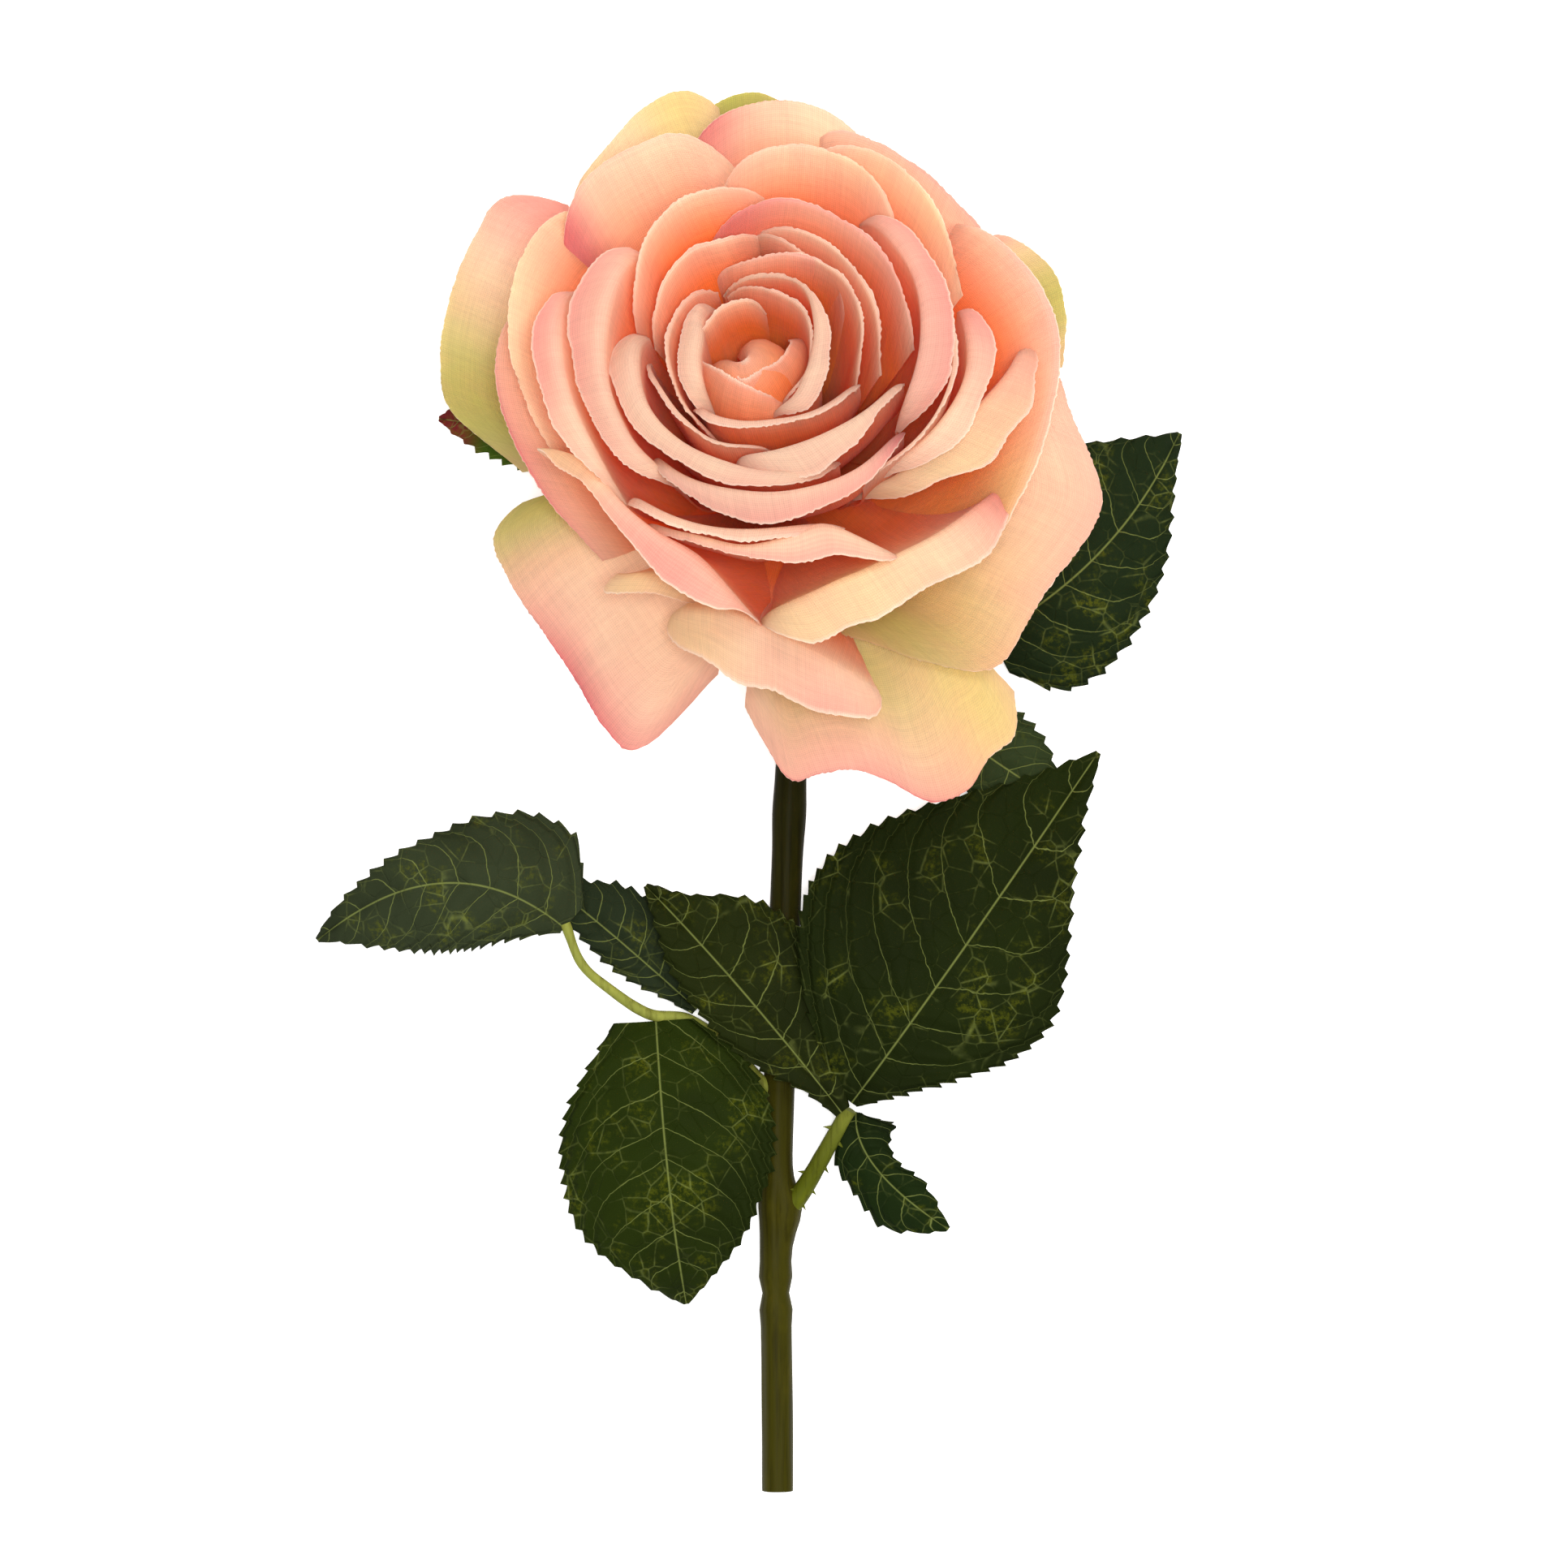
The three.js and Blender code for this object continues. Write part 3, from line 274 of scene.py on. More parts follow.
def linear(rgb):
    """A colour of three bytes as the linear values that a shader works in."""
    values = []
    for byte in rgb:
        share = byte / 255
        values.append(share / 12.92 if share <= 0.04045 else ((share + 0.055) / 1.055) ** 2.4)
    return Vector(values)


def clamp(value, low=0.0, high=1.0):
    return max(low, min(high, value))


def smooth(value):
    value = clamp(value)
    return value * value * (3 - 2 * value)


def spread(values, at):
    """A value spread evenly along 0 to 1, on a smooth curve through every one."""
    if len(values) == 1:
        return values[0]
    place = clamp(at) * (len(values) - 1)
    i = min(int(place), len(values) - 2)
    t = place - i
    b, c = values[i], values[i + 1]
    a = values[i - 1] if i > 0 else 2 * b - c
    d = values[i + 2] if i + 2 < len(values) else 2 * c - b
    return b + 0.5 * t * (c - a + t * (2 * a - 5 * b + 4 * c - d + t * (3 * (b - c) + d - a)))


def ripple(x, y, z):
    """Smooth noise that is the same on every run."""
    return noise.noise(Vector((x, y, z)))


def flower_point(degrees, radius, height):
    turn = math.radians(degrees)
    out = ACROSS * math.cos(turn) + BEYOND * math.sin(turn)
    return SEAT + out * radius + AXIS * height


# ------------------------------------------------------------------ starting shapes


def deselect_all():
    if bpy.context.mode != "OBJECT":
        bpy.ops.object.mode_set(mode="OBJECT")
    bpy.ops.object.select_all(action="DESELECT")


def choose(*pieces):
    """Selects only these pieces, the first one active."""
    deselect_all()
    for piece in pieces:
        piece.select_set(True)
    bpy.context.view_layer.objects.active = pieces[0]


def smooth_faces(piece, sharp):
    choose(piece)
    bpy.ops.object.shade_smooth_by_angle(angle=math.radians(sharp))


def named(name):
    """The object that was just added, under its new name."""
    piece = bpy.context.object
    piece.name = name
    piece.data.name = name
    return piece


def shaped_sheet(name, across, along, point_at):
    """A sheet of cloth cut into even steps, each crossing moved to point_at(step up, step across)."""
    deselect_all()
    bpy.ops.mesh.primitive_grid_add(x_subdivisions=across, y_subdivisions=along, size=1)
    sheet = named(name)
    points = [[None] * (across + 1) for _ in range(along + 1)]
    where = []
    for vertex in sheet.data.vertices:
        i = round((vertex.co.y + 0.5) * along)
        j = round((vertex.co.x + 0.5) * across)
        points[i][j] = point_at(i, j)
        where.append((i, j))
    for vertex, (i, j) in zip(sheet.data.vertices, where):
        vertex.co = points[i][j] * MM
    lay_flat(sheet, points, where)
    return sheet, where


def lay_flat(sheet, points, where):
    """Writes where each point lay on the flat cloth, in metres, so that threads run straight."""
    centre = len(points[0]) // 2
    up = 0.0
    flat = []
    for i, row in enumerate(points):
        if i > 0:
            up += (row[centre] - points[i - 1][centre]).length
        out = [0.0] * len(row)
        for j in range(centre + 1, len(row)):
            out[j] = out[j - 1] + (row[j] - row[j - 1]).length
        for j in range(centre - 1, -1, -1):
            out[j] = out[j + 1] - (row[j] - row[j + 1]).length
        flat.append([(x * MM, up * MM) for x in out])
    layer = sheet.data.uv_layers[0]
    layer.name = "cloth"
    for loop in sheet.data.loops:
        i, j = where[loop.vertex_index]
        layer.data[loop.index].uv = flat[i][j]


def straight_pipe(name, sides, rings):
    """A closed pipe one unit long and one unit in radius, ringed ready to be bent."""
    deselect_all()
    bpy.ops.mesh.primitive_cylinder_add(vertices=sides, radius=1, depth=1, end_fill_type="NGON")
    pipe = named(name)
    for vertex in pipe.data.vertices:
        vertex.select = False
    for face in pipe.data.polygons:
        face.select = False
    for edge in pipe.data.edges:
        low, high = (pipe.data.vertices[k].co.z for k in edge.vertices)
        edge.select = abs(low - high) > 0.5
    bpy.ops.object.mode_set(mode="EDIT")
    bpy.ops.mesh.select_mode(type="EDGE")
    bpy.ops.mesh.subdivide(number_cuts=rings - 1)
    bpy.ops.object.mode_set(mode="OBJECT")
    return pipe


def thicken(piece, thickness, sharp=50):
    """Gives a sheet its two faces and its cut edge."""
    choose(piece)
    wall = piece.modifiers.new("cloth", "SOLIDIFY")
    wall.thickness = thickness
    wall.offset = 0
    bpy.ops.object.modifier_apply(modifier=wall.name)
    smooth_faces(piece, sharp)


def join_pieces(pieces, name):
    choose(*pieces)
    if len(pieces) > 1:
        bpy.ops.object.join()
    return named(name)


def paint(piece, name, colours):
    layer = piece.data.color_attributes.new(name, "FLOAT_COLOR", "POINT")
    for k, colour in enumerate(colours):
        layer.data[k].color = (colour[0], colour[1], colour[2], 1.0)


def keep_number(piece, name, values):
    layer = piece.data.attributes.new(name, "FLOAT", "POINT")
    for k, value in enumerate(values):
        layer.data[k].value = value


def hand_over(piece, node, slot, look=None):
    """Says which solid the piece stands for, and dresses it in the look, or else the slot, it has."""
    piece.data.materials.clear()
    piece.data.materials.append(shared(look or slot))
    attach(piece, "root")
    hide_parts(node)


# ------------------------------------------------------------------ materials


def node_group(name, inputs, outputs):
    """An empty shader node group: inputs and outputs are (name, socket type, default) rows."""
    group = bpy.data.node_groups.new(name, "ShaderNodeTree")
    for label, kind, default in inputs:
        socket = group.interface.new_socket(label, in_out="INPUT", socket_type=kind)
        if default is not None:
            socket.default_value = default
    for label, kind in outputs:
        group.interface.new_socket(label, in_out="OUTPUT", socket_type=kind)
    start = group.nodes.new("NodeGroupInput")
    end = group.nodes.new("NodeGroupOutput")
    return group, start, end


def feed(tree, socket, value):
    """Sets a socket to a number or a colour, or links it to the socket it comes from."""
    if isinstance(value, (int, float)):
        socket.default_value = value
    elif isinstance(value, (tuple, Vector)):
        socket.default_value = (*value[:3], 1.0)
    else:
        tree.links.new(value, socket)


def feed_all(tree, node, **values):
    """Feeds the sockets of a node by name; an underscore stands for a space."""
    for label, value in values.items():
        feed(tree, node.inputs[label.replace("_", " ")], value)


def math_node(tree, operation, *values):
    node = tree.nodes.new("ShaderNodeMath")
    node.operation = operation
    for socket, value in zip(node.inputs, values):
        feed(tree, socket, value)
    return node.outputs[0]


def range_node(tree, value, low, high, new_low=0.0, new_high=1.0):
    node = tree.nodes.new("ShaderNodeMapRange")
    node.interpolation_type = "SMOOTHSTEP"
    feed_all(tree, node, Value=value, From_Min=low, From_Max=high, To_Min=new_low, To_Max=new_high)
    return node.outputs[0]


def mix_colour(tree, factor, first, second, blend="MIX"):
    node = tree.nodes.new("ShaderNodeMix")
    node.data_type = "RGBA"
    node.blend_type = blend
    for k, value in ((0, factor), (6, first), (7, second)):
        feed(tree, node.inputs[k], value)
    return node.outputs[2]


def noise_node(tree, vector, scale, detail=2.0, roughness=0.5):
    node = tree.nodes.new("ShaderNodeTexNoise")
    feed_all(tree, node, Vector=vector, Scale=scale, Detail=detail, Roughness=roughness)
    return node.outputs["Fac"]


def stretched(tree, vector, x, y, z=1.0):
    node = tree.nodes.new("ShaderNodeVectorMath")
    node.operation = "MULTIPLY"
    tree.links.new(vector, node.inputs[0])
    node.inputs[1].default_value = (x, y, z)
    return node.outputs[0]


def woven_threads():
    """Plain weave on flat cloth measured in metres: thread height and uneven thread thickness."""
    group, start, end = node_group(
        "woven_threads",
        (("Cloth", "NodeSocketVector", None), ("Pitch", "NodeSocketFloat", 0.0004)),
        (("Height", "NodeSocketFloat"), ("Slub", "NodeSocketFloat")),
    )
    split = group.nodes.new("ShaderNodeSeparateXYZ")
    group.links.new(start.outputs["Cloth"], split.inputs[0])
    waves = []
    for axis in (0, 1):
        turn = math_node(group, "DIVIDE", split.outputs[axis], start.outputs["Pitch"])
        turn = math_node(group, "MULTIPLY", turn, math.pi)
        waves.append(math_node(group, "COSINE", turn))
    over = math_node(group, "MULTIPLY", waves[0], waves[1])
    warp = math_node(group, "ABSOLUTE", waves[0])
    weft = math_node(group, "ABSOLUTE", waves[1])
    warp = math_node(group, "MULTIPLY", warp, math_node(group, "MULTIPLY_ADD", over, 0.3, 0.7))
    weft = math_node(group, "MULTIPLY", weft, math_node(group, "MULTIPLY_ADD", over, -0.3, 0.7))
    height = math_node(group, "MAXIMUM", warp, weft)
    long_way = noise_node(group, stretched(group, start.outputs["Cloth"], 1600, 60), 1.0, 3.0, 0.6)
    cross_way = noise_node(group, stretched(group, start.outputs["Cloth"], 60, 1600), 1.0, 3.0, 0.6)
    slub = math_node(group, "ADD", long_way, cross_way)
    slub = math_node(group, "SUBTRACT", slub, 1.0)
    feed_all(group, end, Height=height, Slub=slub)
    return group


def leaf_print():
    """Veins of a printed leaf from two measures: distance off the midrib and side vein number."""
    group, start, end = node_group(
        "leaf_print",
        (
            ("Off Midrib", "NodeSocketFloat", 0.0),
            ("Vein Number", "NodeSocketFloat", 0.0),
            ("Spacing", "NodeSocketFloat", 8.0),
            ("Place", "NodeSocketVector", None),
        ),
        (("Veins", "NodeSocketFloat"), ("Net", "NodeSocketFloat"), ("Pillow", "NodeSocketFloat")),
    )
    wander = noise_node(group, stretched(group, start.outputs["Place"], 190, 190, 190), 1.0, 3.0, 0.6)
    uneven = noise_node(group, stretched(group, start.outputs["Place"], 38, 38, 38), 1.0, 1.0, 0.5)
    wander = math_node(group, "MULTIPLY_ADD", wander, 0.26, -0.13)
    wander = math_node(group, "MULTIPLY_ADD", uneven, 0.9, wander)
    number = math_node(group, "ADD", start.outputs["Vein Number"], wander)
    part = math_node(group, "FRACT", number)
    nearest = math_node(group, "MINIMUM", part, math_node(group, "SUBTRACT", 1.0, part))
    from_vein = math_node(group, "MULTIPLY", nearest, start.outputs["Spacing"])
    off = math_node(group, "ABSOLUTE", start.outputs["Off Midrib"])
    midrib = range_node(group, off, 0.06, 0.32, 1.0, 0.0)
    fade = range_node(group, off, 3.0, 22.0, 1.0, 0.35)
    side = math_node(group, "MULTIPLY", range_node(group, from_vein, 0.02, 0.18, 1.0, 0.0), fade)
    net = group.nodes.new("ShaderNodeTexVoronoi")
    net.feature = "DISTANCE_TO_EDGE"
    feed_all(group, net, Scale=210.0, Vector=start.outputs["Place"])
    fine = range_node(group, net.outputs["Distance"], 0.0, 0.05, 1.0, 0.0)
    veins = math_node(group, "MAXIMUM", midrib, side)
    feed_all(group, end, Veins=veins, Net=fine, Pillow=range_node(group, from_vein, 0.0, 3.0))
    return group


def new_material(name):
    material = bpy.data.materials.new(name)
    material.use_nodes = True
    tree = material.node_tree
    tree.nodes.clear()
    output = tree.nodes.new("ShaderNodeOutputMaterial")
    shader = tree.nodes.new("ShaderNodeBsdfPrincipled")
    tree.links.new(shader.outputs[0], output.inputs["Surface"])
    return material, tree, shader, output


def place_group(tree, group, **values):
    node = tree.nodes.new("ShaderNodeGroup")
    node.node_tree = group
    feed_all(tree, node, **values)
    return node.outputs


def attribute(tree, name, output):
    node = tree.nodes.new("ShaderNodeAttribute")
    node.attribute_name = name
    return node.outputs[output]


def cloth_place(tree):
    """Where a point lies on the flat cloth."""
    node = tree.nodes.new("ShaderNodeUVMap")
    node.uv_map = "cloth"
    return node.outputs[0]


def bump(tree, height, strength, distance, before=None):
    node = tree.nodes.new("ShaderNodeBump")
    feed_all(tree, node, Strength=strength, Distance=distance, Height=height)
    if before is not None:
        tree.links.new(before, node.inputs["Normal"])
    return node.outputs[0]


def petal_material(name, group, colours):
    """Dyed petal cloth: the brushed dye, the weave over it, and light through the cloth."""
    material, tree, shader, output = new_material(name)
    flat = cloth_place(tree)
    weave = place_group(tree, group, Pitch=colours.thread_pitch, Cloth=flat)
    cloud = noise_node(tree, stretched(tree, flat, 90, 60), 1.0, 3.0, 0.55)
    dye = mix_colour(tree, range_node(tree, cloud, 0.35, 0.75, 0.0, 0.16), attribute(tree, "dye", "Color"),
                     linear(DYES["pink"]))
    # painted shade: the colour darkens in the dips between threads; the slub streaks it where threads run
    # thicker or thinner
    shade = math_node(tree, "MULTIPLY_ADD", weave["Height"], 0.2, 0.84)
    shade = math_node(tree, "MULTIPLY_ADD", weave["Slub"], 0.22, shade)
    shaded = tree.nodes.new("ShaderNodeVectorMath")
    shaded.operation = "SCALE"
    tree.links.new(dye, shaded.inputs[0])
    tree.links.new(shade, shaded.inputs["Scale"])
    colour = shaded.outputs[0]
    height = math_node(tree, "MULTIPLY_ADD", weave["Slub"], 0.6, weave["Height"])
    folds = noise_node(tree, stretched(tree, flat, 260, 90), 1.0, 4.0, 0.6)
    normal = bump(tree, height, 0.6, 0.0001, bump(tree, folds, 0.5, 0.0009))
    rough = math_node(tree, "MULTIPLY_ADD", weave["Slub"], 0.15, 0.85)
    feed_all(tree, shader, Base_Color=colour, Roughness=rough, Normal=normal, Sheen_Weight=0.25,
             Sheen_Roughness=0.45, Sheen_Tint=(1.0, 0.84, 0.74))
    through = tree.nodes.new("ShaderNodeBsdfTranslucent")
    feed_all(tree, through, Color=colour, Normal=normal)
    mixed = tree.nodes.new("ShaderNodeMixShader")
    for k, value in enumerate((0.58, shader.outputs[0], through.outputs[0])):
        feed(tree, mixed.inputs[k], value)
    tree.links.new(mixed.outputs[0], output.inputs["Surface"])
    return material


def leaf_material(name, weave_group, print_group, colours):
    """Printed leaf cloth: dark green with pale veins, yellow-green mottling and a soft shine."""
    material, tree, shader, output = new_material(name)
    place = tree.nodes.new("ShaderNodeTexCoord").outputs["Object"]
    veins = place_group(
        tree, print_group, Off_Midrib=attribute(tree, "off_midrib", "Fac"), Place=place,
        Vein_Number=attribute(tree, "vein_number", "Fac"), Spacing=attribute(tree, "vein_spacing", "Fac"))
    weave = place_group(tree, weave_group, Pitch=colours.thread_pitch * 1.2, Cloth=cloth_place(tree))
    patch = noise_node(tree, place, 110.0, 4.0, 0.62)
    speckle = noise_node(tree, place, 900.0, 3.0, 0.7)
    mottle = range_node(tree, patch, 0.5, 0.66)
    mottle = math_node(tree, "MULTIPLY", mottle, range_node(tree, speckle, 0.42, 0.66))
    mottle = math_node(tree, "MULTIPLY", mottle, 0.42)
    ground = mix_colour(tree, mottle, attribute(tree, "dye", "Color"), linear(LEAF_MOTTLE))
    darker = range_node(tree, noise_node(tree, place, 45.0, 2.0, 0.5), 0.4, 0.7, 0.0, 0.45)
    ground = mix_colour(tree, darker, ground, linear(LEAF_SHADE))
    lines = math_node(tree, "MULTIPLY", veins["Net"], range_node(tree, patch, 0.4, 0.7, 0.0, 0.25))
    lines = math_node(tree, "MAXIMUM", math_node(tree, "MULTIPLY", veins["Veins"], 0.42), lines)
    puffed = math_node(tree, "MULTIPLY_ADD", veins["Net"], -0.25, veins["Pillow"])
    puffed = math_node(tree, "MULTIPLY_ADD", veins["Veins"], -0.3, puffed)
    feed_all(
        tree, shader, Base_Color=mix_colour(tree, lines, ground, tuple(colours.vein_colour)),
        Roughness=math_node(tree, "MULTIPLY_ADD", speckle, 0.25, 0.55), Specular_IOR_Level=0.025,
        Normal=bump(tree, puffed, 0.7, 0.0007, bump(tree, weave["Height"], 0.3, 0.00007)))
    return material


def plastic_material(name, low_colour, high_colour, low_y, high_y, roughness):
    """Moulded plastic whose colour changes along the stem, with scuffs and fine long grooves."""
    material, tree, shader, output = new_material(name)
    place = tree.nodes.new("ShaderNodeTexCoord").outputs["Object"]
    split = tree.nodes.new("ShaderNodeSeparateXYZ")
    tree.links.new(place, split.inputs[0])
    along = range_node(tree, split.outputs["Y"], low_y, high_y)
    colour = mix_colour(tree, along, linear(low_colour), linear(high_colour))
    streak = noise_node(tree, stretched(tree, place, 900, 45, 900), 1.0, 4.0, 0.6)
    blotch = noise_node(tree, stretched(tree, place, 160, 70, 160), 1.0, 3.0, 0.6)
    for mask, tint in ((range_node(tree, streak, 0.45, 0.72, 0.0, 0.7), (0.45, 0.42, 0.35)),
                       (range_node(tree, blotch, 0.5, 0.7, 0.0, 0.5), (1.6, 1.55, 1.5))):
        colour = mix_colour(tree, mask, colour, mix_colour(tree, 1.0, colour, tint, "MULTIPLY"))
    rough = math_node(tree, "MULTIPLY_ADD", blotch, 0.25, roughness - 0.1)
    feed_all(tree, shader, Base_Color=colour, Roughness=rough, Specular_IOR_Level=0.04,
             Normal=bump(tree, streak, 0.35, 0.0003))
    return material


# Moulded plastics: colour low and high on the flower, the two heights (y, in metres), roughness.
PLASTICS = {
    "stem_plastic": ((0x34, 0x31, 0x05), (0x1C, 0x1B, 0x03), -0.095, 0.01, 0.5),
    "stalk_plastic": ((0x4A, 0x50, 0x0E), (0x80, 0x84, 0x3A), -0.075, -0.04, 0.45),
    "calyx_plastic": ((0x6A, 0x7C, 0x2E), (0x5C, 0x70, 0x28), 0.03, 0.09, 0.5),
}
_made = {}


def shared(key):
    """The scene's own groups and materials, each made once."""
    if key not in _made:
        colours = bpy.context.scene.rose_finish
        if key == "weave":
            _made[key] = woven_threads()
        elif key == "petal_cloth":
            _made[key] = petal_material(key, shared("weave"), colours)
        elif key == "leaf_cloth":
            _made[key] = leaf_material(key, shared("weave"), leaf_print(), colours)
        else:
            _made[key] = plastic_material(key, *PLASTICS[key])
    return _made[key]


# ------------------------------------------------------------------ petals


def receptacle_radius(height):
    down = 1 - height / RECEPTACLE_TIP
    return RECEPTACLE_TIP_RADIUS + (RECEPTACLE_FOOT_RADIUS - RECEPTACLE_TIP_RADIUS) * down


def bezier(a, b, c, d, t):
    back = 1 - t
    return a * back**3 + 3 * b * t * back**2 + 3 * c * t**2 * back + d * t**3


def petal_dye_and_shade(petal, s, v, wall_share):
    """The cloth's own colour: orange at the foot, peach above, then whatever was brushed on."""
    low, high = DYE_AND_SHADE_CLIMB[petal.name[:petal.name.index("_")]]
    # painted shade: orange low on the petal, where it lies deep in the flower, fading to peach towards the
    # crest
    climbed = smooth((v / wall_share - low) / (high - low))
    colour = linear(DYES["orange"]).lerp(linear(DYES["peach"]), climbed)
    colour = colour.lerp(linear(DYES["pink"]), 0.15 * smooth((v - 0.86) / 0.14))
    if v > 0.999:
        return colour.lerp(linear(DYES["bare"]), 0.8)
    for dye, across, up, wide, high, strength in BRUSHED.get(petal.name, ()):
        far = ((s - across) / wide) ** 2 + ((v - up) / high) ** 2
        colour = colour.lerp(linear(DYES[dye]), strength * math.exp(-far))
    return colour


def make_petal(petal, rank, sizes):
    """Cuts one petal, curls it from its foot to its rolled lip and frays its edge."""
    low = rank / (len(PETALS) - 1)
    foot_height = RECEPTACLE_TIP * (1 - low)
    foot_radius = receptacle_radius(foot_height) + GAP + 0.25
    middle = (petal.from_turn + petal.to_turn) / 2
    half = (petal.to_turn - petal.from_turn) / 2
    leave, arrive = (math.radians(angle) for angle in petal.lean)
    rim_length = math.radians(abs(2 * half)) * max(petal.reach)
    across = int(clamp(rim_length / PETAL_STEP, 36, 150))
    has_lip = max(petal.lip) > 0
    broad = max(petal.lip) > BROAD_LIP
    along = 34 if broad else 28
    wall_share = (BROAD_WALL if broad else NARROW_WALL) if has_lip else 1.0
    draw = random.Random(petal.name)
    fray = [draw.uniform(-1, 1) for _ in range(across + 1)]
    side_fray = [draw.uniform(-1, 1) for _ in range(2 * (along + 1))]
    end = arrive + math.radians(clamp(LIP_SLOPE - petal.lean[1], 6, LIP_TURN))
    columns = []
    for j in range(across + 1):
        u = j / across
        s = 2 * u - 1
        wavy = ripple(u * rim_length / 9, rank * 3.7, 0.3)
        fine = ripple(u * rim_length / 2.6, rank * 5.1, 7.7)
        reach = spread(petal.reach, u)
        rise = spread(petal.rise, u) - petal.corner * s**8
        lip = max(spread(petal.lip, u), 0.0) * (1 - 0.75 * s**14) * (1 + 0.16 * wavy)
        extra = 0.3 * wavy + 0.16 * fine + sizes.fray / MM * (fray[j] + 0.35 * (-1) ** j)
        bend = clamp(lip / (math.cos(arrive) - math.cos(end)), TIGHTEST_CURL, LIP_ROLL)
        curl = min(math.acos(clamp(math.cos(arrive) - lip / bend, -1, 1)), end) - arrive
        ruffle = ripple(u * rim_length / 14, rank * 2.3, 4.1)
        onward = max(lip - bend * (math.cos(arrive) - math.cos(end)), 0.0) / math.sin(end)
        columns.append((s, reach, rise, lip, extra, bend, curl, onward, ruffle))

    def point_at(i, j):
        v = i / along
        s, reach, rise, lip, extra, bend, curl, onward, ruffle = columns[j]
        chord = math.hypot(reach - foot_radius, rise - foot_height)
        pull = 0.38 * chord
        opened = 1.0
        if v <= wall_share or not has_lip:
            t = v / wall_share
            t = t + 0.35 * t * (1 - t)
            radius = bezier(foot_radius, foot_radius + pull * math.sin(leave),
                            reach - pull * math.sin(arrive), reach, t)
            height = bezier(foot_height, foot_height + pull * math.cos(leave),
                            rise - pull * math.cos(arrive), rise, t)
            opened = CLAW + (1 - CLAW) * math.sin(math.pi / 2 * min(1, t / 0.6))
            wave = ripple(s * half / 16, v * 2.2, rank * 1.9)
            radius += 0.7 * wave * t * (1.3 - t)
            if not has_lip:
                radius += extra * t**9 * math.sin(arrive)
                height += extra * t**9 * math.cos(arrive)
            height += 0.5 * ruffle * t**3
        else:
            share = (v - wall_share) / (1 - wall_share)
            gone = (curl * bend + onward) * share + extra * share**3
            turn = arrive + min(gone / bend, curl)
            gone = gone - (turn - arrive) * bend
            radius = reach + bend * (math.cos(arrive) - math.cos(turn)) + gone * math.sin(turn)
            height = rise + bend * (math.sin(turn) - math.sin(arrive)) + gone * math.cos(turn)
            height += (0.5 + 0.12 * lip * share) * ruffle
        turn_to = middle + half * s * opened
        if j in (0, across):
            edge = side_fray[2 * i + (j > 0)] * sizes.fray / MM
            turn_to += math.copysign(math.degrees(edge / max(radius, 3.0)), s * half) * (v > 0.4)
        return flower_point(turn_to, radius, height)

    sheet, where = shaped_sheet(petal.name + "_cloth", across, along, point_at)
    # the dye layer also holds painted shade: the orange at each petal's foot
    paint(sheet, "dye", [petal_dye_and_shade(petal, columns[j][0], i / along, wall_share) for i, j in where])
    thicken(sheet, sizes.petal_thickness)
    return sheet


def make_petals(ring, sizes):
    for rank, petal in enumerate(PETALS):
        if petal.name.startswith(ring):
            slot = "guard_petal_cloth" if ring == "guard" else "petal_cloth"
            hand_over(make_petal(petal, rank, sizes), petal.name, slot, "petal_cloth")


# ------------------------------------------------------------------ leaves


